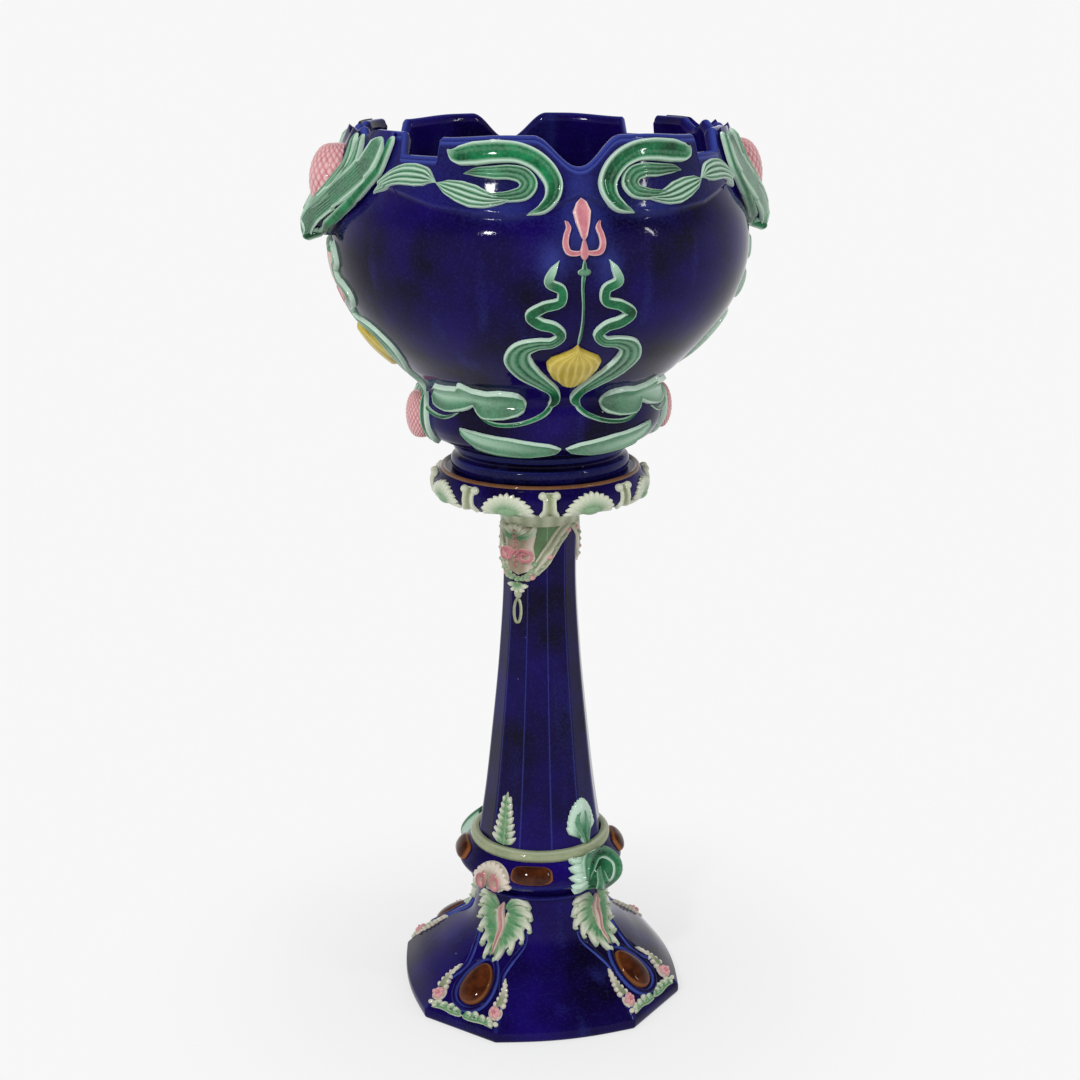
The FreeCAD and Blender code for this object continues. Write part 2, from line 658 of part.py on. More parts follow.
def lugs():
    """A small fruit between two leaves low on each side of the cushion."""
    wall = CUSHION.grown(SLIP)
    for name, middle in (("left", -90.0), ("right", 90.0)):
        fruit = fruit_shape(LUG_WIDE, LUG_DEEP, LUG_TALL, middle, CUSHION_R - 2.0, CUSHION_Z + 30.0)
        save("base_fruit_" + name, solids_of(fruit.cut(wall)))
        leaves = []
        easel = Easel(CUSHION, middle, CUSHION_Z + 30.0)
        for hand in (1.0, -1.0):
            spine = [(hand * x, y) for x, y in ((27.0, 24.0), (33.0, 6.0), (29.0, -12.0), (12.0, -22.0))]
            leaf = raised(easel, ribbon(easel, spine, (5.0, 12.0, 11.0, 3.0)), RELIEF)
            leaves.append(solids_of(leaf.cut(fruit)))
        save("base_fruit_leaves_" + name, *leaves)


# ---- the stand's walls ----------------------------------------------------------------------------------------
def foot_wall():
    return Flare(spread(ANKLE_R, FOOT_CORNER_R - ANKLE_R, FOOT_H - FOOT_EDGE, FOOT_SHAPE, FOOT_EDGE))


def shaft_wall():
    change = SHAFT_TOP_R - SHAFT_FOOT_R
    return Sided(spread(SHAFT_FOOT_R, change, SHAFT_H, SHAFT_SHAPE, SHAFT_Z), SHAFT_SIDES)


def band_wall():
    """A cove under a rounded lip, and above it a shoulder that slopes in to the shaft."""
    return Turned([(BAND_Z, ANKLE_R), (BAND_Z + 0.16 * BAND_H, ANKLE_R + 1.0), (BAND_Z + 0.33 * BAND_H, BAND_R - 6.0),
                   (BAND_Z + 0.51 * BAND_H, BAND_R), (BAND_Z + 0.74 * BAND_H, BAND_R - 4.0),
                   (SHAFT_Z, SHAFT_FOOT_R + BEAD_R)])


def capital_wall():
    low = SEAT_Z - OVOLO_H
    return Turned([(low, CAPITAL_R - 10.0), (low + 0.25 * OVOLO_H, CAPITAL_R), (low + 0.6 * OVOLO_H, CAPITAL_R),
                   (SEAT_Z, SEAT_R)])


FOOT = foot_wall()
SHAFT = shaft_wall()
BAND = band_wall()
CAPITAL = capital_wall()


def foot():
    edge_out = Part.makeLoft([FOOT.section(FOOT_CORNER_R + 1.0, 0.0, 0.0),
                              FOOT.section(FOOT_CORNER_R, FOOT_EDGE, 0.0)], True, True)
    edge_in = Part.makeLoft([FOOT.section(FOOT_CORNER_R - STAND_WALL, 0.0, 0.0),
                             FOOT.section(FOOT_CORNER_R - STAND_WALL - 1.0, FOOT_EDGE, 0.0)], True, True)
    save("foot_edge", edge_out.cut(edge_in))
    save("foot_flare", FOOT.grown(0.0).cut(FOOT.grown(-STAND_WALL)))


def band():
    save("knot_band", BAND.turned_solid().cut(BAND.room(STAND_WALL + 2.0, BAND_Z, SHAFT_Z)))
    outside = SHAFT_FOOT_R + BEAD_R
    save("band_bead", roll(SHAFT_FOOT_R - 0.5, outside, SHAFT_Z + SLIP, 2.0 * BEAD_R).cut(SHAFT.grown(SLIP)))
    foot_roll = BAND_Z + 0.5 * ANKLE_BEAD
    save("ankle_bead", roll(ANKLE_R - 1.0, ANKLE_R + ANKLE_BEAD, foot_roll, ANKLE_BEAD).cut(BAND.grown(SLIP)))


def roll(inside, outside, z, tall):
    """A round-edged ring that lies against a wall."""
    edge = 0.3 * (outside - inside)
    return lathe([(inside, z), (outside - edge, z), (outside, z + 0.5 * tall), (outside - edge, z + tall),
                  (inside, z + tall)])


def shaft():
    save("shaft", SHAFT.grown(0.0).cut(SHAFT.grown(-STAND_WALL)))


def capital():
    """A neck in a hollow curve, the swelling edge with its flat deck, and the raised line round the deck."""
    low = SEAT_Z - OVOLO_H
    neck_r = SHAFT_TOP_R + NECK_STEP
    edge_r = CAPITAL_R - 10.0
    hip_r = neck_r + 0.2 * (edge_r - neck_r)
    hip_z = CAPITAL_Z + 0.7 * (low - CAPITAL_Z)
    save("capital_neck", lathe([(neck_r, CAPITAL_Z), (hip_r, hip_z), (edge_r, low), (edge_r - STAND_WALL, low),
                                (neck_r - STAND_WALL, CAPITAL_Z)]))
    under_deck = SEAT_Z - DECK_THICK
    room = Part.makeCylinder(edge_r - STAND_WALL, under_deck - low, Vector(0, 0, low))
    save("capital", CAPITAL.turned_solid().cut(room))
    inside = SEAT_R - 2.0 * SEAT_LINE
    save("seat_line", lathe([(inside, SEAT_Z), (SEAT_R, SEAT_Z), (SEAT_R - 0.6 * SEAT_LINE, SEAT_Z + SEAT_LINE),
                             (inside, SEAT_Z + SEAT_LINE)]))


def stand_body():
    foot()
    band()
    shaft()
    capital()


# ---- relief on the capital ------------------------------------------------------------------------------------
CAPITAL_LEAVES = 8


def capital_relief():
    """Acanthus fans and plain tongues, turn about, round the swelling edge."""
    low = SEAT_Z - OVOLO_H
    step = 360.0 / CAPITAL_LEAVES
    fans, tongues = [], []
    for k in range(CAPITAL_LEAVES):
        easel = Easel(CAPITAL, 16.5 + k * step, low + 0.45 * OVOLO_H)
        notches = [(-5.0, -10.0), (-9.0, -3.0), (-6.0, 5.0), (6.0, 5.0), (9.0, -3.0), (5.0, -10.0)]
        tips = [(-15.0, -8.0), (-15.0, 5.0), (0.0, 12.0), (15.0, 5.0), (15.0, -8.0)]
        fans.append(pressed(easel, lobed(easel, notches, tips), FINE_RELIEF))
        easel = Easel(CAPITAL, 16.5 + (k + 0.5) * step, low + 0.45 * OVOLO_H)
        wire = ribbon(easel, [(0.0, -11.0), (0.0, 0.0), (0.0, 10.0)], (15.0, 9.0, 12.0))
        tongues.append(pressed(easel, wire, FINE_RELIEF))
    save("capital_acanthus", *fans)
    save("capital_tongues", *tongues)


# ---- relief on the shaft --------------------------------------------------------------------------------------
FACE_DEG = 133.0         # the two decorated sides of the stand, this one and its opposite


def shaft_relief():
    cartouches, drops, bands, cups = [], [], [], []
    for middle in (FACE_DEG, FACE_DEG - 180.0):
        easel = Easel(SHAFT, middle, CAPITAL_Z - 28.0)
        half = [(0.0, -28.0), (15.0, -22.0), (21.0, -4.0), (16.0, 11.0), (20.0, 23.0), (0.0, 26.0)]
        wire = flat_sided(easel.points(both_sides(half)[:-1]))
        cartouches.append(pressed(easel, wire, 2.0 * RELIEF))
        notches = [(-10.0, -30.0), (-6.0, -38.0), (6.0, -38.0), (10.0, -30.0)]
        tips = [(-13.0, -38.0), (0.0, -52.0), (13.0, -38.0)]
        cups.append(pressed(easel, lobed(easel, notches, tips), RELIEF))
        drops.append(pressed(easel, oval(easel, 5.5, 14.5, 0.0, -87.0), FINE_RELIEF + 1.0))
        drops.append(pressed(easel, oval(easel, 4.5, 8.5, 0.0, -62.0), RELIEF))
        for hand in (1.0, -1.0):
            turn = middle + 46.0 * hand
            side = Easel(SHAFT, turn, CAPITAL_Z - 30.0)
            spine = [(-hand * x, y) for x, y in ((9.0, -28.0), (3.5, -13.0), (-5.0, 4.0), (-15.0, 27.0))]
            bands.append(pressed(side, ribbon(side, spine, (6.0, 13.0, 12.0, 8.0)), RELIEF))
    save("shaft_cartouches", *cartouches)
    save("cartouche_leaves", *cups)
    save("shaft_drops", *drops)
    save("shaft_garlands", *bands)


# ---- relief on the band ---------------------------------------------------------------------------------------
def band_relief():
    palms, knots, stones, sprigs, crests = [], [], [], [], []
    for turn in (0.0, 180.0):
        easel = Easel(BAND, FACE_DEG + turn, BAND_Z + 0.59 * BAND_H)
        notches = [(-8.0, -15.0), (-17.0, -5.0), (-13.0, 10.0), (13.0, 10.0), (17.0, -5.0), (8.0, -15.0)]
        tips = [(-19.0, -13.0), (-23.0, 5.0), (0.0, 17.0), (23.0, 5.0), (19.0, -13.0)]
        palms.append(raised(easel, lobed(easel, notches, tips), RELIEF))
        sprig = Easel(SHAFT, FACE_DEG + turn, SHAFT_Z + 38.0)
        half = [(0.0, -25.0), (12.0, -20.0), (7.0, -12.0), (10.0, -4.0), (5.0, 6.0), (5.0, 14.0), (0.0, 28.0)]
        sprigs.append(pressed(sprig, flat_sided(sprig.points(both_sides(half)[:-1])), RELIEF))
        easel = Easel(BAND, 38.0 + turn, BAND_Z + 0.60 * BAND_H, 12.0)
        knots.append(stone(easel, 29.0, 19.0, 3.0 * RELIEF))
        leaf = Easel(SHAFT, 38.0 + turn, SHAFT_Z + 34.0)
        notches = [(-12.0, -22.0), (-13.0, -4.0), (-8.0, 14.0), (8.0, 14.0), (13.0, -4.0), (12.0, -22.0)]
        tips = [(-20.0, -12.0), (-18.0, 9.0), (0.0, 27.0), (18.0, 9.0), (20.0, -12.0)]
        crests.append(pressed(leaf, lobed(leaf, notches, tips), 1.5 * RELIEF))
    for middle in (-17.0, 86.0, 163.0, 266.0):
        easel = Easel(BAND, middle, BAND_Z + 0.73 * BAND_H, 32.0)
        stones.append(stone(easel, 21.0, 9.0, 2.0 * RELIEF))
    save("band_palmettes", *palms)
    save("band_sprigs", *sprigs)
    save("band_knots", *knots)
    save("knot_leaves", *crests)
    save("band_stones", *stones)


# ---- relief on the foot ---------------------------------------------------------------------------------------
FOOT_REACH = 24.0        # depth of the pressings on the foot, so that they stay above its edge


def foot_relief():
    leaves, frames, stones, sprays, frills = [], [], [], [], []
    for corner in (45.0, 135.0, 225.0, 315.0):
        easel = Easel(FOOT, corner, FOOT_H - 42.0, 26.0)
        notches = [(-14.0, 27.0), (-18.0, 8.0), (-15.0, -10.0), (-4.0, -18.0), (4.0, -18.0), (15.0, -10.0),
                   (18.0, 8.0), (14.0, 27.0)]
        tips = [(-25.0, 18.0), (-28.0, 0.0), (-15.0, -24.0), (0.0, -14.0), (15.0, -24.0), (28.0, 0.0), (25.0, 18.0)]
        leaves.append(pressed(easel, lobed(easel, notches, tips), 1.7 * RELIEF))
        easel = Easel(FOOT, corner, 36.0, 52.0)
        hole = prism(easel, oval(easel, 16.5, 25.0), 3.0 * FOOT_REACH)
        frames.append(solids_of(pressed(easel, oval(easel, 21.0, 30.0), RELIEF, FOOT_REACH).cut(hole)))
        stones.append(stone(easel, 16.0, 24.5, 2.2 * RELIEF))
        for hand in (1.0, -1.0):
            spine = [(hand * x, y) for x, y in ((27.0, 26.0), (30.0, 6.0), (29.0, -12.0), (25.0, -27.0))]
            sprays.append(pressed(easel, ribbon(easel, spine, (3.0, 7.0, 13.0, 5.0)), RELIEF, FOOT_REACH))
        for hand in (1.0, -1.0):
            notches = [(hand * x, y) for x, y in ((4.0, -36.0), (10.0, -31.0), (24.0, -32.0), (36.0, -38.0))]
            tips = [(hand * x, y) for x, y in ((6.0, -30.0), (18.0, -26.0), (32.0, -31.0))]
            frills.append(pressed(easel, lobed(easel, notches, tips), FINE_RELIEF, FOOT_REACH))
    save("foot_acanthus", *leaves)
    save("stone_frames", *frames)
    save("foot_stones", *stones)
    save("flower_sprays", *sprays)
    save("corner_leaves", *frills)


def main():
    os.makedirs(OUT, exist_ok=True)
    planter_body()
    swags()
    scroll_leaves()
    garlands()
    handles()
    motifs()
    waist_leaves()
    base_leaves()
    lugs()
    stand_body()
    capital_relief()
    shaft_relief()
    band_relief()
    foot_relief()


main()
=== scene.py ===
"""Dresses a glazed earthenware jardiniere and its stand: cobalt walls with coloured relief stuck on.

Lengths in the shape tables are millimetres. Angles are degrees round from the front (-Y) towards +X.
Each relief piece is drawn as strips on a wall: a spine, the half widths on both sides of it and a cross
section. Each strip also stores how thin the glaze lies, because thin glaze is pale and pooled glaze is
deep.
"""

import math

import bpy
import numpy as np
from bpy.props import FloatProperty, FloatVectorProperty, PointerProperty
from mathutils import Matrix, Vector


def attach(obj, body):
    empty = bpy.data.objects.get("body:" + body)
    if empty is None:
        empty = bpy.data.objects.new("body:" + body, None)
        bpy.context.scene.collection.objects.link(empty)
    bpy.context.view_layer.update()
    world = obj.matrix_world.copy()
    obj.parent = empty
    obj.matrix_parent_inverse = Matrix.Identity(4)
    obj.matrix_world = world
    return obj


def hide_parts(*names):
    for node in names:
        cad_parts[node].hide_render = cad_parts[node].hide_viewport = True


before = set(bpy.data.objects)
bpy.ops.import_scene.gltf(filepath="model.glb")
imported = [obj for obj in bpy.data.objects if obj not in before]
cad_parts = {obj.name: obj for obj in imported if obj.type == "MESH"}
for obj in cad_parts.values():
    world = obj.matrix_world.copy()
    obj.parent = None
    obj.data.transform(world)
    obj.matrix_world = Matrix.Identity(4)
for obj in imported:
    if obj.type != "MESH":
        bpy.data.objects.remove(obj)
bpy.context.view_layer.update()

bl_info = {
    "name": "Glazed jardiniere on stand",
    "version": (1, 0, 0),
    "blender": (4, 5, 0),
    "location": "3D View > Sidebar > Pottery",
    "description": "Builds the glazed walls and the coloured relief of a jardiniere and its stand",
    "category": "Object",
}

MM = 0.001
POT, STAND = "jardiniere", "stand"
SIDES = (("front", 0.0), ("back", 180.0))
HANDS = (("left", 1.0), ("right", -1.0))
QUARTERS = (("front", 0.0), ("right", 90.0), ("back", 180.0), ("left", 270.0))

# ---- sizes, in millimetres and degrees -----------------------------------------------------------
RIM_Z, RIM_R = 913.0, 173.0
DIP_HALF = 40.0
NOTCH_FROM, NOTCH_TO = 41.0, 55.0
HORN_HALF = 22.0
HORN_REACH = 3.0 * HORN_HALF                 # half the width that two horns take up over a handle
HORN_SHARP = 1.3
SHAFT_SIDES = 12
FACE = 133.0             # the stand's two decorated sides are this one and its opposite
KNOT = 38.0              # the two knots on the band stand here and opposite

COLLAR_Z = 846.0         # where the belly's even wall ends and the lobed rim begins
FLOOR_Z = 613.0
FOOT_EDGE_Z, FOOT_TOP_Z, BAND_TOP_Z = 11.0, 122.0, 166.0
FOOT_CORNER = 155.0      # radius of the foot's eight corners
LONG_SIDE = 28.2         # half the angle of each of the foot's four long sides
LIP_TOP, LIP_TALL, LIP_HALF, LIP_REACH, LIP_BRIM = 909.0, 94.0, 98.0, 229.0, 7.0
CAPITAL_FANS, FIRST_FAN = 8, 16.5
BAND_STONES = (-17.0, 86.0, 163.0, 266.0)    # where the four stones on the band stand
KNOT_Z, SHIELD_Z, FOOT_STONE_Z, ACANTHUS_Z = 149.0, 493.0, 39.0, 84.0

# Columns and rows of the planter's mesh
POT_COLUMNS, LIP_ROWS, INSIDE_ROWS, FLOOR_ROWS = 900, 9, 90, 10

# Profiles as (height, radius)
POT_PROFILE = ((602, 87), (609.8, 107.2), (621.8, 119), (635.6, 123), (648.8, 121.9), (662, 118),
               (684, 138.6), (710, 163.6), (741, 186.8), (774.4, 200.6), (808, 204), (829, 200.5),
               (850, 190.5), (881.5, 179.8), (913, 173))
FOOT_PROFILE = ((11, 155), (27.7, 138), (46.5, 110.8), (68.7, 81.9), (93.1, 71.7), (122, 70))
BAND_PROFILE = ((122, 70), (129, 71), (136.5, 81), (144.4, 87), (154.6, 83), (166, 73))
SHAFT_PROFILE = ((166, 68), (222.6, 59.4), (289.9, 51.7), (378.4, 43.05), (463.4, 38.3), (520, 39.2))
NECK_PROFILE = ((520, 40.8), (532, 45), (540, 55), (545, 76), (547, 98.5))
CAPITAL_PROFILE = ((547, 98.5), (550, 105), (556, 108.5), (563, 108.3), (570, 104.5), (574, 100.5))
ARCH = ((0, 466), (14, 468), (24, 470), (36, 478), (50, 492), (64, 506), (80, 518), (90, 522))
SWAG_EDGE = ((0, 861), (6, 853.5), (12, 846), (18, 843), (28, 845), (40, 849), (52, 858), (65, 866),
             (90, 872))


# ---- sizes, colours and light that a user may change ---------------------------------------------
class JARDINIERE_PG_sizes(bpy.types.PropertyGroup):
    """Sizes of the planter's wall and rim, in millimetres."""

    wall: FloatProperty(name="Wall", description="Thickness of the planter's wall, in millimetres",
                        default=8.0, min=3.0, max=15.0)
    swag_lift: FloatProperty(name="Panel", description="How far the panel under the rim stands out",
                             default=3.5, min=0.5, max=8.0)
    dip_deep: FloatProperty(name="Dip", description="Depth of the rim's two dips", default=27.0, min=0.0,
                            max=40.0)
    notch_deep: FloatProperty(name="Notch", description="Depth of the rim's four square notches",
                              default=20.0, min=0.0, max=35.0)
    horn_deep: FloatProperty(name="Horns", description="How far the horns stand over the handles",
                             default=9.0, min=0.0, max=20.0)


def colour(name, red, green, blue):
    """A colour property, given in display values from 0 to 255."""
    linear = [((c / 255.0 + 0.055) / 1.055) ** 2.4 if c > 10 else c / 255.0 / 12.92
              for c in (red, green, blue)]
    return FloatVectorProperty(name=name, description=name + " of the glaze", subtype="COLOR", size=3,
                               min=0.0, max=1.0, default=linear)


class JARDINIERE_PG_colours(bpy.types.PropertyGroup):
    """Glaze colours. Each glaze has a deep, a middle and a thin shade."""

    cobalt_deep: colour("Deep cobalt", 9, 3, 30)
    cobalt: colour("Cobalt", 26, 9, 100)
    cobalt_thin: colour("Thin cobalt", 72, 92, 178)
    leaf_deep: colour("Deep leaf green", 8, 52, 30)
    leaf: colour("Leaf green", 28, 128, 78)
    leaf_thin: colour("Thin leaf green", 200, 226, 208)
    moss: colour("Moss green", 120, 160, 116)
    rose_deep: colour("Deep rose", 168, 84, 96)
    rose: colour("Rose", 214, 142, 152)
    rose_thin: colour("Thin rose", 236, 202, 196)
    ochre_deep: colour("Deep ochre", 158, 132, 40)
    ochre: colour("Ochre", 208, 186, 82)
    ochre_thin: colour("Thin ochre", 226, 212, 136)
    amber_deep: colour("Deep amber", 42, 16, 8)
    amber: colour("Amber", 92, 44, 18)
    amber_thin: colour("Thin amber", 150, 92, 48)
    celadon_deep: colour("Deep celadon", 92, 112, 78)
    celadon: colour("Celadon", 152, 160, 122)
    celadon_thin: colour("Thin celadon", 216, 220, 200)
    brown_line: colour("Brown line", 118, 78, 50)


class JARDINIERE_PG_studio(bpy.types.PropertyGroup):
    """Light levels of the studio."""

    backdrop: FloatProperty(name="Backdrop",
                            description="Brightness of floor and backdrop as the camera sees them",
                            default=0.935, min=0.0, max=1.0, subtype="FACTOR")
    room: FloatProperty(name="Room light", description="Even light from all round", default=0.56, min=0.0,
                        max=2.0)
    key: FloatProperty(name="Key light", description="Power of the main soft light", default=34.0, min=0.0,
                       max=500.0, unit="POWER")
    fill: FloatProperty(name="Fill light", description="Power of the second soft light", default=11.0,
                        min=0.0, max=500.0, unit="POWER")


def sizes():
    return bpy.context.scene.jardiniere_sizes


def colours():
    return bpy.context.scene.jardiniere_colours


# ---- curves --------------------------------------------------------------------------------------
def along(stations, places, wanted):
    """Values of a smooth curve through the places, which are given at the stations."""
    x = np.asarray(stations, float)
    y = np.asarray(places, float)
    if y.ndim == 1:
        y = y[:, None]
    if len(x) == 2:
        share = ((np.asarray(wanted) - x[0]) / (x[1] - x[0]))[:, None]
        return y[0] + share * (y[1] - y[0])
    step = np.diff(x)[:, None]
    slope = np.diff(y, axis=0) / step
    inner = (slope[:-1] * step[1:] + slope[1:] * step[:-1]) / (step[1:] + step[:-1])
    tangent = np.vstack([1.5 * slope[:1] - 0.5 * inner[:1], inner, 1.5 * slope[-1:] - 0.5 * inner[-1:]])
    i = np.clip(np.searchsorted(x, wanted, side="right") - 1, 0, len(x) - 2)
    h = x[i + 1] - x[i]
    t = ((wanted - x[i]) / h)[:, None]
    h = h[:, None]
    return ((2 * t ** 3 - 3 * t ** 2 + 1) * y[i] + (t ** 3 - 2 * t ** 2 + t) * h * tangent[i]
            + (3 * t ** 2 - 2 * t ** 3) * y[i + 1] + (t ** 3 - t ** 2) * h * tangent[i + 1])


def rise(value, low, high):
    """0 below low, 1 above high, and smooth between."""
    share = np.clip((value - low) / (high - low), 0.0, 1.0)
    return share * share * (3.0 - 2.0 * share)


def from_middle(degrees, turn):
    """Signed angle from the nearest of the middles that repeat each turn."""
    return (np.asarray(degrees, float) + 0.5 * turn) % turn - 0.5 * turn


# ---- surfaces that relief is drawn on ------------------------------------------------------------
class Round:
    """A turned wall: places are (degrees round, height)."""

    def __init__(self, profile):
        heights = [z for z, r in profile]
        self.z = np.linspace(heights[0], heights[-1], 400)
        self.r = along(heights, [r for z, r in profile], self.z)[:, 0]

    def radius(self, degrees, z):
        return np.interp(z, self.z, self.r)

    def proud(self, degrees, z):
        """How far the wall itself stands out of its profile."""
        return 0.0

    def bare(self, degrees, z):
        radius = self.radius(degrees, z)
        turn = np.radians(degrees)
        return np.stack([radius * np.sin(turn), -radius * np.cos(turn), z + 0.0 * radius], -1)

    def normal(self, a, b):
        across = self.bare(a + 0.2, b) - self.bare(a - 0.2, b)
        up = self.bare(a, b + 0.3) - self.bare(a, b - 0.3)
        out = np.cross(across, up)
        return out / np.maximum(np.linalg.norm(out, axis=-1, keepdims=True), 1e-9)

    def lifted(self, a, b, lift):
        """Places that stand off the wall."""
        a, b = np.broadcast_arrays(np.asarray(a, float), np.asarray(b, float))
        return self.bare(a, b) + self.normal(a, b) * np.asarray(lift + self.proud(a, b))[..., None]

    def sheet(self, degrees, z, pairs, hand=1.0):
        """(degrees, height) of places in millimetres from a middle on the wall. Hand -1 mirrors them."""
        radius = float(self.radius(np.array(degrees), np.array(z)))
        return [(degrees + math.degrees(hand * x / radius), z + y) for x, y in pairs]


class PotWall(Round):
    """The planter's outside, with the lobed panel under the rim."""

    def proud(self, degrees, z):
        from_front = np.abs(from_middle(degrees, 180.0))
        edge = np.interp(from_front, *zip(*SWAG_EDGE))
        return sizes().swag_lift * rise(z, edge - 1.5, edge + 2.5)


class Sided(Round):
    """The shaft: flat sides between arrises that the glaze has softened."""

    def radius(self, degrees, z):
        turn = np.abs(from_middle(np.asarray(degrees) + 15.0, 360.0 / SHAFT_SIDES))
        flat = math.cos(math.radians(15.0)) / np.cos(np.radians(turn))
        return Round.radius(self, degrees, z) * (flat - 0.008 * rise(turn, 12.0, 15.0))


class Flare(Round):
    """The foot: four long bowed sides and four short ones, drawn in to a round ankle."""

    def radius(self, degrees, z):
        circle = Round.radius(self, degrees, z)
        share = np.clip((z - FOOT_EDGE_Z) / (FOOT_TOP_Z - FOOT_EDGE_Z), 0.0, 1.0) ** 1.5
        turn = from_middle(degrees, 90.0)
        flat = circle * math.cos(math.radians(LONG_SIDE)) / np.cos(np.radians(turn))
        long_side = flat + 8.0 * circle / FOOT_CORNER * (1.0 - (turn / LONG_SIDE) ** 2)
        corner = from_middle(np.asarray(degrees) + 45.0, 90.0)
        short_side = circle * math.cos(math.radians(45.0 - LONG_SIDE)) / np.cos(np.radians(corner))
        plan = np.where(np.abs(turn) <= LONG_SIDE, long_side, short_side)
        return plan + share * (circle - plan)


class Lip(Round):
    """A handle's outer face: places are (-1 to 1 across, 0 at the rim to 1 at the point)."""

    SHARES = ((0.0, 1.0, 0.05), (0.34, 0.92, 0.30), (0.64, 0.66, 0.66), (0.88, 0.30, 0.93),
              (1.0, 0.07, 1.0))

    def __init__(self, middle, wall):
        self.wall = wall
        turn = math.radians(middle)
        self.out = np.array([math.sin(turn), -math.cos(turn), 0.0])
        self.side = np.array([math.cos(turn), math.sin(turn), 0.0])

    def bare(self, across, down):
        across, down = np.broadcast_arrays(np.asarray(across, float), np.asarray(down, float))
        levels = [level for level, wide, out in self.SHARES]
        z = LIP_TOP - LIP_TALL * down
        half = LIP_HALF * np.interp(down, levels, [wide for level, wide, out in self.SHARES])
        share = np.interp(down, levels, [out for level, wide, out in self.SHARES])
        near = self.wall.radius(0.0, np.minimum(z, RIM_Z)) + LIP_BRIM
        reach = near + share * (LIP_REACH - near)
        end = np.sqrt(np.maximum(near ** 2 - half ** 2, 1.0))
        depth = reach + (end - reach) * np.abs(across) ** 2
        place = self.out * depth[..., None] + self.side * (half * across)[..., None]
        return place + np.array([0.0, 0.0, 1.0]) * z[..., None]

    def normal(self, a, b):
        across = self.bare(a + 0.01, b) - self.bare(a - 0.01, b)
        down = self.bare(a, b + 0.005) - self.bare(a, b - 0.005)
        out = np.cross(down, across)
        return out / np.maximum(np.linalg.norm(out, axis=-1, keepdims=True), 1e-9)


BODY = PotWall(POT_PROFILE)
FOOT = Flare(FOOT_PROFILE)
BAND = Round(BAND_PROFILE)
SHAFT = Sided(SHAFT_PROFILE)
NECK = Round(NECK_PROFILE)
CAPITAL = Round(CAPITAL_PROFILE)


# ---- clay ----------------------------------------------------------------------------------------
class Clay:
    """Grids of places that become one mesh, with the thinness and the tint of the glaze at each place. On
    rims, rolls and arrises the thinness also holds painted highlights.
    """

    def __init__(self):
        self.places, self.faces, self.thin, self.tint = [], [], [], []
        self.count = 0

    def grid(self, places, thin=0.0, tint=0.0, closed=False):
        """Adds a grid of rows by columns. A closed grid joins its last column to its first."""
        rows, columns = places.shape[:2]
        self.places.append(places.reshape(-1, 3))
        self.thin.append(np.broadcast_to(thin, (rows, columns)).reshape(-1))
        self.tint.append(np.broadcast_to(tint, (rows, columns)).reshape(-1))
        row = np.arange(rows - 1)[:, None] * columns
        column = np.arange(columns if closed else columns - 1)[None, :]
        beside = (column + 1) % columns
        quads = np.stack([row + column, row + beside, row + columns + beside, row + columns + column], -1)
        self.faces.append(quads.reshape(-1, 4) + self.count)
        self.count += rows * columns

    def piece(self, name, material, body, slot, nodes):
        """The finished object. It takes the place of the named solids and rides on their body."""
        mesh = bpy.data.meshes.new(name)
        places = np.concatenate(self.places) * MM
        faces = np.concatenate(self.faces)
        mesh.vertices.add(len(places))
        mesh.vertices.foreach_set("co", places.astype(np.float32).ravel())
        mesh.loops.add(faces.size)
        mesh.loops.foreach_set("vertex_index", faces.astype(np.int32).ravel())
        mesh.polygons.add(len(faces))
        mesh.polygons.foreach_set("loop_start", np.arange(0, faces.size, 4, dtype=np.int32))
        mesh.update(calc_edges=True)
        mesh.polygons.foreach_set("use_smooth", np.ones(len(faces), bool))
        for label, values in (("thin", self.thin), ("tint", self.tint)):
            layer = mesh.attributes.new(label, "FLOAT", "POINT")
            layer.data.foreach_set("value", np.clip(np.concatenate(values), 0.0, 1.0).astype(np.float32))
        mesh.validate()
        mesh.materials.append(material)
        made = bpy.data.objects.new(name, mesh)
        bpy.context.scene.collection.objects.link(made)
        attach(made, body)
        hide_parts(*nodes)
        return made


# ---- cross sections of strips: height and thinness by place along (0 to 1) and across (-1 to 1) --
def sides_off(t, share=0.12):
    """A rounded fall at both sides of a strip."""
    return np.sqrt(np.clip((1.0 - np.abs(t)) / share, 0.0, 1.0))


def plump(s, t):
    return np.sqrt(np.clip(1.0 - t * t, 0.0, 1.0)), rise(np.abs(t), 0.45, 1.0)


def dished(s, t):
    """A leaf with raised rims, where the glaze runs off, and a hollow, where it pools."""
    return sides_off(t) * (0.60 + 0.40 * t * t), rise(np.abs(t), 0.52, 0.93)


def ridged(ribs, depth=0.16, pale=0.30):
    """Long parallel ribs with pale crests."""
    def section(s, t):
        wave = np.cos(ribs * np.pi * (t + 1.0))
        height = sides_off(t) * (0.82 - depth + depth * wave - 0.12 * t * t)
        return height, np.maximum(rise(np.abs(t), 0.66, 0.98), pale * (0.5 + 0.5 * wave))
    return section


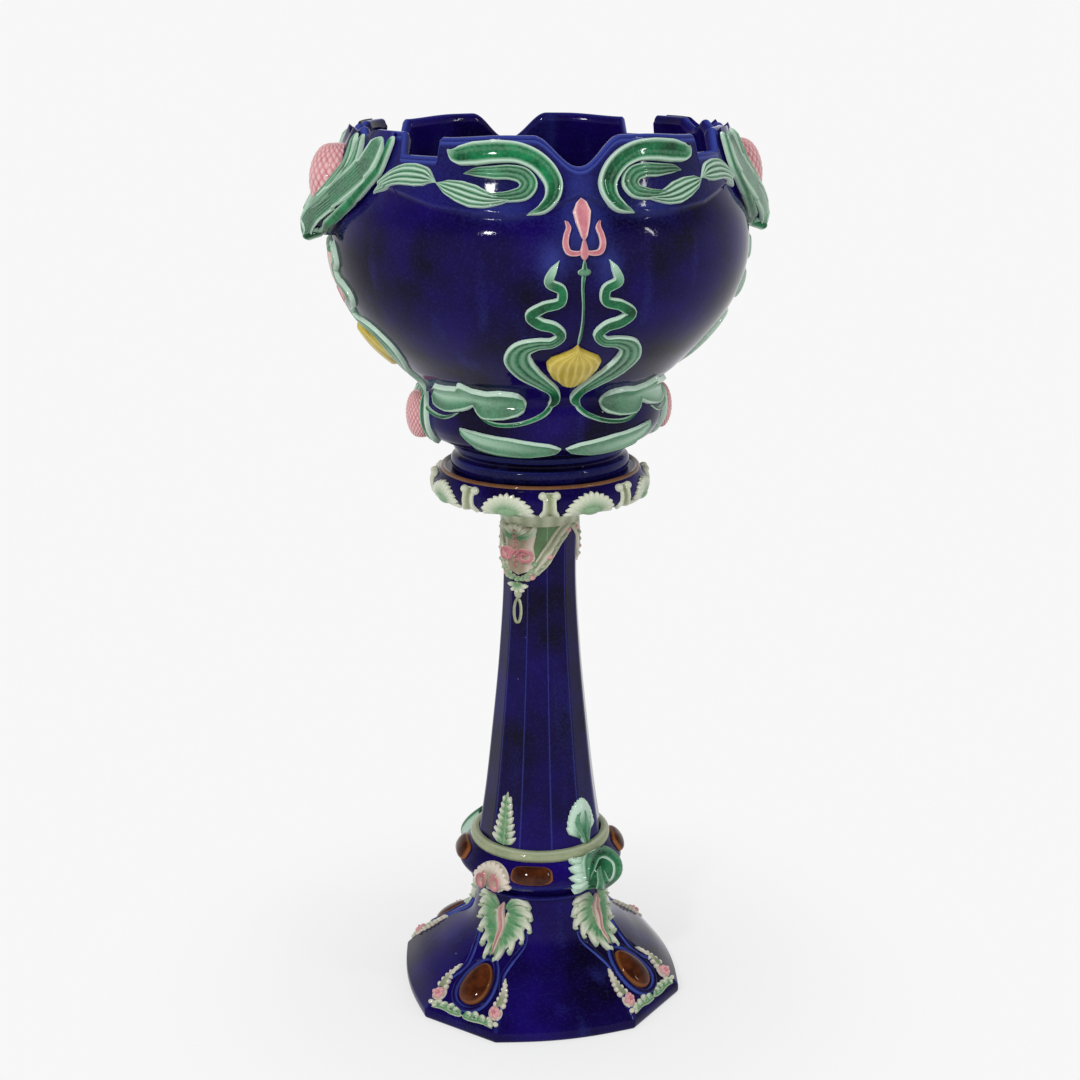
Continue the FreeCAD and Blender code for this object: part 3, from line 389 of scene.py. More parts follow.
def strip(clay, surface, spine, left, right, height, section, steps=44, across=19, ends=0.10, tint=0.0,
          pale_ends=0.5):
    """A strip of relief along a spine of (a, b) places, with half widths in millimetres on both sides."""
    spine = np.asarray(spine, float)
    solid = surface.lifted(spine[:, 0], spine[:, 1], 0.0)
    walked = np.concatenate([[0.0], np.cumsum(np.linalg.norm(np.diff(solid, axis=0), axis=1))])
    s = 0.5 - 0.5 * np.cos(np.linspace(0.06, np.pi - 0.06, steps))
    s = (s - s[0]) / (s[-1] - s[0])
    where = s * walked[-1]
    a, b = along(walked, spine, where).T
    wide_left = np.maximum(np.interp(where, walked, left), 0.05)
    wide_right = np.maximum(np.interp(where, walked, right), 0.05)
    taper = np.sqrt(np.clip(np.minimum(s, 1.0 - s) / ends, 0.0, 1.0))
    here = surface.bare(a, b)
    tangent = np.gradient(here, axis=0)
    tangent /= np.maximum(np.linalg.norm(tangent, axis=1, keepdims=True), 1e-9)
    out = surface.normal(a, b)
    side = np.cross(out, tangent)
    nudge = 1e-3
    along_a = (surface.bare(a + nudge, b) - here) / nudge
    along_b = (surface.bare(a, b + nudge) - here) / nudge
    aa, bb, ab = (along_a ** 2).sum(1), (along_b ** 2).sum(1), (along_a * along_b).sum(1)
    sa, sb = (side * along_a).sum(1), (side * along_b).sum(1)
    fixed = aa * bb - ab * ab
    step_a, step_b = (sa * bb - sb * ab) / fixed, (sb * aa - sa * ab) / fixed
    t = np.sin(np.linspace(-0.5 * np.pi, 0.5 * np.pi, across))
    wide = np.where(t[None, :] < 0.0, wide_left[:, None], wide_right[:, None]) * taper[:, None]
    offset = wide * t[None, :]
    grid_a = a[:, None] + step_a[:, None] * offset
    grid_b = b[:, None] + step_b[:, None] * offset
    share, thin = section(s[:, None], t[None, :])
    share = np.broadcast_to(share, grid_a.shape) * taper[:, None]
    thin = np.maximum(thin, pale_ends * (1.0 - rise(taper, 0.35, 1.0))[:, None])
    skin = surface.lifted(grid_a, grid_b, height * share - 0.9 * (1.0 - sides_off(t, 0.03))[None, :])
    clay.grid(skin, thin, tint)


def ribbon(clay, surface, spine, half, height, section, **more):
    """A strip that is as wide to the left of its spine as to the right."""
    strip(clay, surface, spine, half, half, height, section, **more)


def dome(clay, surface, middle, half_a, half_b, height, power=2.0, lift=0.0, thin=0.0, tint=0.0,
         rings=12, around=36, edge=0.55):
    """A rounded boss on a wall, with an oval or squarish outline."""
    radius = float(np.linalg.norm(surface.bare(np.array(middle[0]), np.array(middle[1]))[:2]))
    angle = np.linspace(0.0, 2.0 * np.pi, around, endpoint=False)[None, :]
    rho = np.sin(np.linspace(0.0, 0.5 * np.pi, rings))[:, None]
    x = np.sign(np.cos(angle)) * np.abs(np.cos(angle)) ** (2.0 / power) * half_a * rho
    y = np.sign(np.sin(angle)) * np.abs(np.sin(angle)) ** (2.0 / power) * half_b * rho
    share = (1.0 - rho ** 2) ** edge
    pale = np.maximum(np.broadcast_to(thin, x.shape), 0.9 * rise(rho, 0.84, 1.0)) + 0.0 * x
    tilt = np.degrees(x / radius)
    clay.grid(surface.lifted(middle[0] + tilt, middle[1] + y, lift + height * share - 0.8 * (rho > 0.999)),
              pale, tint, closed=True)


# ---- glaze: node groups that several materials share ---------------------------------------------
class Nodes:
    """Places shader nodes and links them."""

    def __init__(self, tree):
        self.tree = tree

    def add(self, kind, **settings):
        node = self.tree.nodes.new(kind)
        for key, value in settings.items():
            setattr(node, key, value)
        return node

    def link(self, output, target):
        self.tree.links.new(output, target)

    def maths(self, operation, first, second=0.5, third=0.0, clamp=False):
        node = self.add("ShaderNodeMath", operation=operation, use_clamp=clamp)
        for socket, value in zip(node.inputs, (first, second, third)):
            self.feed(value, socket)
        return node.outputs[0]

    def feed(self, value, socket):
        if isinstance(value, bpy.types.NodeSocket):
            self.link(value, socket)
        else:
            socket.default_value = value

    def mix(self, share, first, second):
        node = self.add("ShaderNodeMix", data_type="RGBA")
        self.feed(share, node.inputs[0])
        self.feed(first, node.inputs[6])
        self.feed(second, node.inputs[7])
        return node.outputs[2]

    def noise(self, scale, detail=2.0, rough=0.5, stretch=None):
        where = self.add("ShaderNodeTexCoord").outputs["Object"]
        if stretch:
            mapping = self.add("ShaderNodeMapping")
            mapping.inputs["Scale"].default_value = stretch
            self.link(where, mapping.inputs["Vector"])
            where = mapping.outputs[0]
        node = self.add("ShaderNodeTexNoise")
        self.link(where, node.inputs["Vector"])
        self.feed(scale, node.inputs["Scale"])
        node.inputs["Detail"].default_value = detail
        node.inputs["Roughness"].default_value = rough
        return node.outputs["Fac"]


def group(name, inputs, outputs):
    """A new node group with named sockets. Returns it with its node helper and its two end nodes."""
    tree = bpy.data.node_groups.new(name, "ShaderNodeTree")
    for label, kind, default in inputs:
        socket = tree.interface.new_socket(name=label, in_out="INPUT", socket_type=kind)
        socket.default_value = default
    for label, kind in outputs:
        tree.interface.new_socket(name=label, in_out="OUTPUT", socket_type=kind)
    nodes = Nodes(tree)
    return tree, nodes, nodes.add("NodeGroupInput"), nodes.add("NodeGroupOutput")


COLOUR, VALUE = "NodeSocketColor", "NodeSocketFloat"
WAVES_DEEP, MARKS_DEEP = 0.0006, 0.0003      # metres that bump stands for
GLAZE_ROUGH = 0.06


def pooled_glaze():
    """Colour by how thick the glaze lies: pale where thin, deep where it has pooled, and cloudy between."""
    tree, n, start, end = group("pooled glaze", (("Deep", COLOUR, (0, 0, 0, 1)),
                                                 ("Body", COLOUR, (0.5, 0.5, 0.5, 1)),
                                                 ("Thin", COLOUR, (1, 1, 1, 1)), ("Thinness", VALUE, 0.0),
                                                 ("Cloud Scale", VALUE, 30.0), ("Cloud", VALUE, 0.4)),
                                (("Color", COLOUR), ("Pooling", VALUE)))
    cloud = n.noise(start.outputs["Cloud Scale"], 3.0, 0.6)
    fine = n.noise(420.0, 2.0, 0.5)
    wander = n.maths("MULTIPLY_ADD", n.maths("SUBTRACT", fine, 0.5), 0.22, start.outputs["Thinness"])
    thin = n.maths("MULTIPLY", wander, 1.0, clamp=True)
    pool = n.maths("MULTIPLY", n.maths("SUBTRACT", 1.0, n.maths("MULTIPLY", thin, 1.8, clamp=True),
                                       clamp=True), start.outputs["Cloud"])
    cloudy = n.maths("MULTIPLY", pool, n.maths("MULTIPLY_ADD", cloud, 3.2, -1.0, clamp=True), clamp=True)
    body = n.mix(cloudy, start.outputs["Body"], start.outputs["Deep"])
    n.link(n.mix(thin, body, start.outputs["Thin"]), end.inputs["Color"])
    n.link(cloudy, end.inputs["Pooling"])
    return tree


def kiln_marks():
    """Small pits, specks and a faint web of crazing in the glaze."""
    tree, n, start, end = group("kiln marks", (("Color", COLOUR, (1, 1, 1, 1)),
                                               ("Speck Color", COLOUR, (0.6, 0.6, 0.6, 1)),
                                               ("Specks", VALUE, 0.5), ("Crazing", VALUE, 0.2)),
                                (("Color", COLOUR), ("Height", VALUE)))
    where = n.add("ShaderNodeTexCoord").outputs["Object"]
    dots = n.add("ShaderNodeTexVoronoi", feature="F1")
    dots.inputs["Scale"].default_value = 46.0
    n.link(where, dots.inputs["Vector"])
    few = n.maths("GREATER_THAN", n.noise(17.0, 1.0), 0.60)
    speck = n.maths("MULTIPLY", n.maths("LESS_THAN", dots.outputs["Distance"], 0.035), few)
    speck = n.maths("MULTIPLY", speck, start.outputs["Specks"], clamp=True)
    web = n.add("ShaderNodeTexVoronoi", feature="DISTANCE_TO_EDGE")
    web.inputs["Scale"].default_value = 210.0
    n.link(where, web.inputs["Vector"])
    crack = n.maths("MULTIPLY", n.maths("LESS_THAN", web.outputs["Distance"], 0.022),
                    n.maths("MULTIPLY_ADD", n.noise(9.0, 1.0), 2.4, -0.8, clamp=True))
    crack = n.maths("MULTIPLY", crack, start.outputs["Crazing"], clamp=True)
    marked = n.mix(speck, start.outputs["Color"], start.outputs["Speck Color"])
    dark = n.mix(n.maths("MULTIPLY", crack, 0.55), marked, (0.05, 0.035, 0.03, 1.0))
    n.link(dark, end.inputs["Color"])
    n.link(n.maths("ADD", n.maths("MULTIPLY", speck, -1.0), n.maths("MULTIPLY", crack, -0.25)),
           end.inputs["Height"])
    return tree


def flow():
    """The slow unevenness of a melted glaze, drawn downwards, as a height."""
    tree, n, start, end = group("flow", (("Wave", VALUE, 14.0), ("Peel", VALUE, 0.3)), (("Height", VALUE),))
    long_wave = n.noise(start.outputs["Wave"], 1.0, 0.4, stretch=(1.0, 1.0, 0.45))
    peel = n.maths("MULTIPLY", n.noise(130.0, 1.0, 0.4), start.outputs["Peel"])
    n.link(n.maths("ADD", long_wave, peel), end.inputs["Height"])
    return tree


def shared(name, maker):
    return bpy.data.node_groups.get(name) or maker()


def glaze(name, deep, body, thin, cloud=0.6, cloud_scale=30.0, second=None, crazing=0.15, streaks=0.0,
          gloss=0.20):
    """A glossy glaze. Where the tint of the clay is 1 the second body and deep colours show."""
    material = bpy.data.materials.new(name)
    material.use_nodes = True
    n = Nodes(material.node_tree)
    shader = material.node_tree.nodes["Principled BSDF"]
    thinness = n.add("ShaderNodeAttribute", attribute_name="thin").outputs["Fac"]
    tint = n.add("ShaderNodeAttribute", attribute_name="tint").outputs["Fac"]
    if streaks:
        run = n.noise(26.0, 2.0, 0.5, stretch=(1.0, 1.0, 0.10))
        washed = n.maths("MULTIPLY", n.maths("MULTIPLY_ADD", run, 4.0, -2.35, clamp=True), streaks)
        thinness = n.maths("MAXIMUM", thinness, washed)
    pool = n.add("ShaderNodeGroup", node_tree=shared("pooled glaze", pooled_glaze))
    for label, tone in (("Deep", deep), ("Body", body), ("Thin", thin)):
        pool.inputs[label].default_value = (*tone, 1.0)
    if second:
        for label, tone, other in (("Deep", deep, second[0]), ("Body", body, second[1]),
                                   ("Thin", thin, second[2])):
            n.link(n.mix(tint, (*tone, 1.0), (*other, 1.0)), pool.inputs[label])
    n.link(thinness, pool.inputs["Thinness"])
    pool.inputs["Cloud Scale"].default_value = cloud_scale
    pool.inputs["Cloud"].default_value = cloud
    marks = n.add("ShaderNodeGroup", node_tree=shared("kiln marks", kiln_marks))
    n.link(pool.outputs["Color"], marks.inputs["Color"])
    marks.inputs["Speck Color"].default_value = (*[min(1.0, 0.3 + c) for c in thin], 1.0)
    marks.inputs["Specks"].default_value = 0.5
    marks.inputs["Crazing"].default_value = crazing
    n.link(marks.outputs["Color"], shader.inputs["Base Color"])
    waves = n.add("ShaderNodeGroup", node_tree=shared("flow", flow))
    wave_bump = n.add("ShaderNodeBump")
    wave_bump.inputs["Strength"].default_value = 0.5
    wave_bump.inputs["Distance"].default_value = WAVES_DEEP
    n.link(waves.outputs["Height"], wave_bump.inputs["Height"])
    mark_bump = n.add("ShaderNodeBump")
    mark_bump.inputs["Strength"].default_value = 0.5
    mark_bump.inputs["Distance"].default_value = MARKS_DEEP
    n.link(marks.outputs["Height"], mark_bump.inputs["Height"])
    n.link(wave_bump.outputs["Normal"], mark_bump.inputs["Normal"])
    n.link(mark_bump.outputs["Normal"], shader.inputs["Normal"])
    shader.inputs["Roughness"].default_value = GLAZE_ROUGH
    shader.inputs["IOR"].default_value = 1.5
    shader.inputs["Specular IOR Level"].default_value = gloss
    return material


def cobalt_glaze(c):
    return glaze("cobalt glaze", c.cobalt_deep, c.cobalt, c.cobalt_thin, cloud=1.0, cloud_scale=8.0,
                 second=(c.celadon_deep, c.moss, c.celadon_thin), streaks=0.16, gloss=0.09)


def leaf_glaze(c):
    return glaze("leaf green glaze", c.leaf_deep, c.leaf, c.leaf_thin, cloud=0.95, cloud_scale=38.0,
                 second=(c.rose_deep, c.rose, c.rose_thin))


def mint_glaze(c):
    return glaze("mint and rose glaze", c.leaf, c.moss, c.celadon_thin, cloud=0.7, cloud_scale=60.0,
                 second=(c.rose_deep, c.rose, c.rose_thin))


def rose_glaze(c):
    return glaze("rose glaze", c.rose_deep, c.rose, c.rose_thin, cloud=0.6, cloud_scale=60.0)


def ochre_glaze(c):
    return glaze("ochre glaze", c.ochre_deep, c.ochre, c.ochre_thin, cloud=0.6, cloud_scale=50.0)


def amber_glaze(c):
    return glaze("amber glaze", c.amber_deep, c.amber, c.amber_thin, cloud=0.9, cloud_scale=70.0,
                 crazing=0.0)


def celadon_glaze(c):
    return glaze("celadon glaze", c.celadon_deep, c.celadon, c.celadon_thin, cloud=0.6,
                 cloud_scale=34.0)


def brown_glaze(c):
    return glaze("brown line glaze", c.amber, c.brown_line, c.celadon, cloud=0.5, cloud_scale=60.0)


GLAZES = {"cobalt glaze": cobalt_glaze, "leaf green glaze": leaf_glaze, "mint and rose glaze": mint_glaze,
          "rose glaze": rose_glaze, "ochre glaze": ochre_glaze, "amber glaze": amber_glaze,
          "celadon glaze": celadon_glaze, "brown line glaze": brown_glaze}
SLOTS = {"cobalt glaze": "blue_glaze", "leaf green glaze": "green_glaze",
         "mint and rose glaze": "mint_glaze", "rose glaze": "pink_glaze", "ochre glaze": "ochre_glaze",
         "amber glaze": "amber_glaze", "celadon glaze": "celadon_glaze",
         "brown line glaze": "rim_brown_glaze"}


def fire(clay, name, finish, body, *nodes):
    """Makes the object of a piece of clay in its glaze."""
    material = bpy.data.materials.get(finish) or GLAZES[finish](colours())
    return clay.piece(name, material, body, SLOTS[finish], nodes)


# ---- the planter ---------------------------------------------------------------------------------
def rim_height(degrees):
    """Height of the lobed rim: two dips, four square notches and the hollows between the horns."""
    from_front = from_middle(degrees, 180.0)
    across = RIM_R * np.radians(from_front)
    dip = sizes().dip_deep * np.cos(0.5 * np.pi * np.minimum(np.abs(across) / DIP_HALF, 1.0)) ** 2
    away = np.abs(from_front)
    notch = sizes().notch_deep * rise(away, NOTCH_FROM - 0.3, NOTCH_FROM + 0.3)
    notch = notch * (1.0 - rise(away, NOTCH_TO - 0.3, NOTCH_TO + 0.3))
    beside = RIM_R * np.radians(90.0 - away)
    hollow = sizes().horn_deep * np.abs(np.cos(0.5 * np.pi * beside / HORN_HALF)) ** HORN_SHARP
    hollow = hollow * (1.0 - rise(np.abs(beside), 2.6 * HORN_HALF, HORN_REACH))
    sag = 3.0 * rise(away, 20.0, 40.0) * (away < NOTCH_FROM)
    return RIM_Z - 1.0 - dip - notch - hollow - sag


def planter_walls():
    degrees = np.linspace(0.0, 360.0, POT_COLUMNS, endpoint=False)
    top = rim_height(degrees)
    fixed = np.linspace(POT_PROFILE[0][0], COLLAR_Z, 150)[:, None] + 0.0 * degrees
    upper = COLLAR_Z + np.linspace(0.02, 1.0, 60)[:, None] * (top - 4.0 - COLLAR_Z)[None, :]
    z = np.vstack([fixed, upper])
    edge = 3.0 * np.exp(-((top[None, :] - z) / 7.0) ** 2)
    outer = BODY.lifted(degrees[None, :] + 0.0 * z, z, 0.3 * edge)
    proud = BODY.proud(degrees[None, :] + 0.0 * z, z) / sizes().swag_lift
    # Pale glaze along the rim's top edge and the crest of the panel's ledge: partly thin glaze, partly a
    # painted highlight.
    ledge_glaze_and_highlight = np.exp(-((proud - 0.75) / 0.25) ** 2) * (z > COLLAR_Z - 8.0)
    thin = 0.55 * np.exp(-((top[None, :] - 4.0 - z) / 2.2) ** 2) + 0.20 * ledge_glaze_and_highlight
    thin = np.maximum(thin, halo(degrees[None, :], z))
    last = outer[-1]
    inward = -np.stack([np.sin(np.radians(degrees)), -np.cos(np.radians(degrees)), 0.0 * degrees], -1)
    turn = np.linspace(0.15, np.pi, LIP_ROWS)[:, None, None]
    half = 0.5 * (sizes().wall + 2.0)
    lip = last[None] + inward[None] * (half * (1.0 - np.cos(turn)))
    lip = lip + np.array([0.0, 0.0, 1.0]) * (4.0 * np.sin(turn))
    share = np.linspace(0.0, 1.0, INSIDE_ROWS)[:, None]
    inside_z = (top - 6.0)[None, :] * (1.0 - share) + (FLOOR_Z + 3.0) * share
    inner = BODY.bare(degrees[None, :] + 0.0 * inside_z, inside_z)
    inner = inner + inward[None] * sizes().wall
    floor_r = np.linspace(0.93, 0.0, FLOOR_ROWS)[:, None, None]
    floor = inner[-1][None] * np.array([1.0, 1.0, 0.0]) * floor_r + np.array([0.0, 0.0, FLOOR_Z])
    skin = np.concatenate([outer, lip, inner, floor])
    # The rounded lip is paler: partly thin glaze, partly a painted highlight.
    lip_glaze_and_highlight = np.full((LIP_ROWS, POT_COLUMNS), 0.6) * np.exp(-((turn[..., 0] - 1.2) / 0.9) ** 2)
    pale = np.concatenate([thin, lip_glaze_and_highlight, np.zeros((INSIDE_ROWS + FLOOR_ROWS, POT_COLUMNS))])
    clay = Clay()
    clay.grid(skin, pale, 0.0, closed=True)
    fire(clay, "planter_walls", "cobalt glaze", POT, "belly", "collar", "base_cushion", "rim_swag_front",
         "rim_swag_back")


# Brushed places on the front and the back as (degrees, height, degrees wide, tall, how thin)
WASHES = ((0.0, 838.0, 5.5, 24.0, 0.34), (-8.0, 806.0, 3.2, 16.0, 0.30), (6.5, 800.0, 3.2, 16.0, 0.26),
          (-21.0, 850.0, 9.0, 9.0, 0.22), (20.0, 850.0, 9.0, 9.0, 0.22), (0.0, 872.0, 5.0, 14.0, 0.18))


def halo(degrees, z):
    """Where the cobalt was brushed thin round the flowers and the leaf tips."""
    away = from_middle(degrees, 180.0)
    washed = 0.0
    for middle, height, wide, tall, amount in WASHES:
        washed = washed + amount * np.exp(-((away - middle) / wide) ** 2 - ((z - height) / tall) ** 2)
    return washed


def foot_ring():
    """Two rolls, one over the other."""
    profile = [(78.0, 580.0), (78.0, 574.3), (86.0, 574.3), (88.6, 575.2), (90.0, 578.5), (90.2, 583.0),
               (88.8, 586.6), (85.6, 588.6), (83.8, 590.2), (84.6, 593.0), (87.4, 595.8), (88.0, 599.0),
               (86.6, 602.0), (87.0, 604.0)]
    clay = Clay()
    # The widest lines of both rolls are paler: thin glaze and a painted highlight.
    clay.grid(turned(profile, 160), crest_glaze_and_highlight(profile, 0.28, 160), 0.0, closed=True)
    under = [(78.0, 580.0), (76.0, 600.0), (40.0, 601.5), (0.5, 602.0)]
    clay.grid(turned(under[::-1], 160, plain=True), 0.0, 0.0, closed=True)
    fire(clay, "planter_foot_ring", "cobalt glaze", POT, "foot_ring")


def turned(profile, columns, plain=False):
    """Rows of places of a profile of (radius, height) turned round the axis."""
    walked = np.arange(len(profile), dtype=float)
    fine = np.array(profile) if plain else along(walked, profile,
                                                 np.linspace(0.0, len(profile) - 1.0, 6 * len(profile)))
    angle = np.linspace(0.0, 2.0 * np.pi, columns, endpoint=False)
    radius, z = fine[:, :1], fine[:, 1:]
    return np.stack([radius * np.sin(angle), -radius * np.cos(angle), z + 0.0 * angle], -1)


def crest_glaze_and_highlight(profile, amount, columns):
    """Thin glaze and a painted highlight on the widest lines of a turned profile."""
    radius = along(np.arange(len(profile), dtype=float), profile,
                   np.linspace(0, len(profile) - 1.0, 6 * len(profile)))
    bend = np.gradient(np.gradient(radius[:, 0]))
    return np.broadcast_to(amount * rise(-bend, 0.0, 0.12)[:, None], (len(radius), columns))


# ---- relief of the planter -----------------------------------------------------------------------
SCROLL_OUTER = (((-38.2, 899.5), (-35.6, 895.2), (-29.4, 896.6), (-22.7, 898.6), (-16.5, 897.2),
                 (-11.9, 890.5), (-8.9, 881.2), (-7.3, 870.1), (-7.8, 859.5), (-10.0, 850.7),
                 (-14.5, 845.0)), (2.0, 8.5, 11.0, 10.4, 9.5, 8.9, 8.9, 8.3, 7.0, 4.8, 1.0),
                (1.0, 7.5, 10.5, 10.0, 9.2, 8.9, 8.6, 8.0, 6.6, 4.4, 1.0))
SCROLL_INNER = (((-32.5, 878.5), (-28.0, 880.2), (-23.3, 880.2), (-18.9, 880.6), (-15.4, 877.4),
                 (-14.0, 871.0), (-15.0, 864.2), (-18.3, 860.4), (-22.7, 859.4), (-27.5, 860.6)),
                (1.2, 4.3, 6.1, 6.7, 7.6, 8.0, 7.3, 5.5, 3.7, 1.4),
                (1.2, 4.3, 6.1, 6.7, 7.6, 8.0, 7.3, 5.5, 3.7, 1.4))
GARLAND_NEAR = (((-17.6, 857.6), (-21.7, 856.4), (-25.3, 856.9), (-29.1, 859.4), (-33.1, 863.1),
                 (-37.3, 866.7), (-40.6, 869.9)), (0.8, 4.3, 8.0, 11.0, 10.2, 6.6, 1.8),
                (0.8, 3.8, 7.6, 10.2, 9.4, 6.0, 1.8))
GARLAND_FAR = (((-40.4, 869.7), (-43.6, 873.8), (-47.9, 875.3), (-51.7, 875.0), (-55.6, 872.0),
                (-60.5, 864.0), (-65.0, 856.0)), (1.8, 8.6, 10.8, 10.2, 8.0, 5.0, 1.5),
               (1.8, 8.2, 10.2, 9.8, 7.4, 4.6, 1.5))


def mirrored(pairs, hand, middle):
    return [(middle + hand * a, b) for a, b in pairs]


def handed(left, right, hand):
    return (left, right) if hand > 0 else (right, left)


def rim_relief():
    for side, middle in SIDES:
        for hand_name, hand in HANDS:
            leaf = Clay()
            for (spine, left, right), ribs in ((SCROLL_OUTER, 1.0), (SCROLL_INNER, 3.0)):
                section = dished_ribs(ribs) if ribs < 2.0 else ridged(ribs, 0.17, 0.25)
                strip(leaf, BODY, mirrored(spine, hand, middle), *handed(left, right, hand), 7.0, section,
                      steps=90)
            fire(leaf, "scroll_%s_%s" % (side, hand_name), "leaf green glaze", POT,
                 "scroll_leaf_%s_%s" % (side, hand_name))
            chain = Clay()
            for spine, left, right in (GARLAND_NEAR, GARLAND_FAR):
                strip(chain, BODY, mirrored(spine, hand, middle), *handed(left, right, hand), 6.5,
                      ridged(4.0, 0.20, 0.90), steps=70, across=33, ends=0.16, pale_ends=0.9)
            fire(chain, "pleats_%s_%s" % (side, hand_name), "leaf green glaze", POT,
                 "garland_%s_%s" % (side, hand_name))


def dished_ribs(ribs):
    """A broad leaf with raised rims and one soft rib beside its middle."""
    def section(s, t):
        height, thin = dished(s, t)
        rib = np.exp(-((t - 0.25) / 0.10) ** 2)
        return height + 0.07 * ribs * rib, np.maximum(thin, 0.16 * rib)
    return section


TENDRIL = ((-8.0, 654.5), (-4.7, 665.7), (-5.7, 678.1), (-10.1, 687.5), (-15.3, 699.2), (-17.9, 713.0),
           (-16.2, 725.0), (-11.9, 730.6), (-7.3, 732.6), (-5.2, 739.5), (-7.0, 746.8), (-11.2, 751.5),
           (-13.4, 758.0), (-10.4, 766.0), (-5.6, 772.5), (-5.6, 781.5), (-8.8, 789.0), (-7.8, 799.0),
           (-6.2, 808.0))
TENDRIL_WIDE = (2.2, 4.7, 5.4, 8.0, 12.3, 13.6, 9.6, 6.2, 5.0, 4.8, 5.2, 5.8, 5.6, 5.0, 4.6, 4.6, 4.6, 3.4,
                0.6)
RUNNER = (((-5.0, 664.0), (-8.0, 654.3), (-14.3, 646.8), (-22.8, 641.8), (-31.6, 641.4), (-39.5, 648.0)),
          (3.4, 2.8, 2.4, 2.2, 2.0, 1.0))
BUD_STEM = ((0.0, 728.0), (0.4, 745.0), (0.2, 765.0), (-0.3, 785.0), (0.0, 800.0), (0.0, 811.0))


def tendril_section(s, t):
    wave = np.cos(3.0 * np.pi * (t + 1.0))
    swell = rise(s, 0.10, 0.20) * (1.0 - rise(s, 0.46, 0.62))
    height = sides_off(t) * (0.74 + 0.13 * swell * wave + 0.16 * (1.0 - swell) * t * t)
    thin = np.maximum(rise(np.abs(t), 0.62, 0.98), 0.30 * swell * (0.5 + 0.5 * wave))
    return height, np.maximum(thin, 0.85 * rise(s, 0.88, 1.0))


def plants():
    for name, middle in QUARTERS:
        pair = Clay()
        for hand in (1.0, -1.0):
            spine = mirrored(TENDRIL, hand, middle)
            ribbon(pair, BODY, spine, TENDRIL_WIDE, 5.2, tendril_section, steps=150, across=23, ends=0.03)
            runner, half = RUNNER
            ribbon(pair, BODY, mirrored(runner, hand, middle), half, 3.4, plump, steps=60, across=9)
        fire(pair, "tendril_pair_" + name, "leaf green glaze", POT, "tendrils_" + name)
    stems, pods, flowers = Clay(), Clay(), Clay()
    for name, middle in QUARTERS:
        spine = mirrored(BUD_STEM, 1.0, middle)
        wide = (1.6, 1.3, 1.2, 1.4, 2.4, 1.0)
        ribbon(stems, BODY, spine, wide, 2.8, plump, steps=40, across=9)
        dome(stems, BODY, (middle, 797.0), 6.0, 3.4, 4.6, thin=0.2)
        half = (3.0, 9.0, 18.0, 24.0, 26.0, 22.0, 12.0, 4.0, 1.2)
        pod = [(middle, z) for z in (684.0, 688.0, 694.4, 703.0, 710.5, 716.0, 720.5, 724.5, 729.0)]
        ribbon(pods, BODY, pod, half, 10.0, pod_section, steps=60, across=45, ends=0.10, pale_ends=0.1)
        if name in ("front", "back"):
            trident(flowers, middle)
        else:
            trident(stems, middle, drop=62.0, spread=0.62, tint=1.0)
    fire(stems, "bud_stalks", "leaf green glaze", POT, "bud_stems")
    fire(pods, "ochre_pods", "ochre glaze", POT, "seed_pods")
    fire(flowers, "three_pronged_flowers", "rose glaze", POT, "trident_flowers")


def pod_section(s, t):
    round_off = np.sqrt(np.clip(1.0 - t * t, 0.0, 1.0))
    rib = np.abs(np.cos(4.0 * np.pi * t * (0.7 + 0.3 * s)))
    return round_off * (0.90 + 0.07 * rib) * (0.75 + 0.25 * np.sin(np.pi * s)), 0.45 * rise(rib, 0.75, 1.0)


def trident(clay, middle, drop=0.0, spread=1.0, tint=0.0):
    """A dart between two bent prongs."""
    wide = np.array((1.6, 3.2, 6.4, 8.2, 5.0, 0.8)) * (0.3 + 0.7 * spread)
    ribbon(clay, BODY, [(middle, z - drop) for z in (824.0, 829.0, 839.0, 848.0, 855.0, 860.0)], wide, 4.6,
           dished, steps=40, across=15, tint=tint)
    base = (1.2, 4.5, 3.0, 1.0)
    ribbon(clay, BODY, [(middle, z - drop) for z in (807.0, 813.0, 819.0, 826.0)], base, 4.0, plump,
           steps=24, across=13, tint=tint)
    bend = ((1.0, -11.0), (7.0, -12.5), (14.0, -11.0), (16.5, -5.0), (15.5, 3.0), (13.5, 9.0), (16.5, 15.0))
    for hand in (1.0, -1.0):
        spine = BODY.sheet(middle, 826.0 - drop, [(hand * spread * x, y) for x, y in bend])
        prong = np.array((1.5, 2.3, 2.8, 2.8, 2.6, 2.4, 0.5)) * (0.4 + 0.6 * spread)
        ribbon(clay, BODY, spine, prong, 3.8, dished, steps=50, across=11, ends=0.06, tint=tint)


WAIST_SPINE = ((-27.8, 663.6), (-23.5, 662.0), (-17.2, 660.7), (-9.4, 659.8), (-3.2, 663.0), (0.3, 663.4),
               (3.8, 662.8), (13.3, 660.0), (20.5, 660.8), (25.5, 664.0))
WAIST_UP = (8.0, 12.5, 14.5, 13.5, 12.5, 18.5, 12.5, 13.0, 12.5, 5.0)
WAIST_DOWN = (8.0, 12.5, 15.0, 15.0, 8.0, 12.0, 13.5, 13.5, 11.0, 4.0)
BASE_SPINE = ((1.0, 617.6), (7.1, 618.0), (16.2, 618.2), (25.1, 620.0), (34.2, 622.4), (42.3, 626.4),
              (49.5, 634.0))
BASE_UP = (1.2, 6.2, 9.4, 10.4, 9.6, 7.0, 0.8)
BASE_DOWN = (1.2, 5.4, 8.6, 9.6, 9.2, 7.0, 0.8)


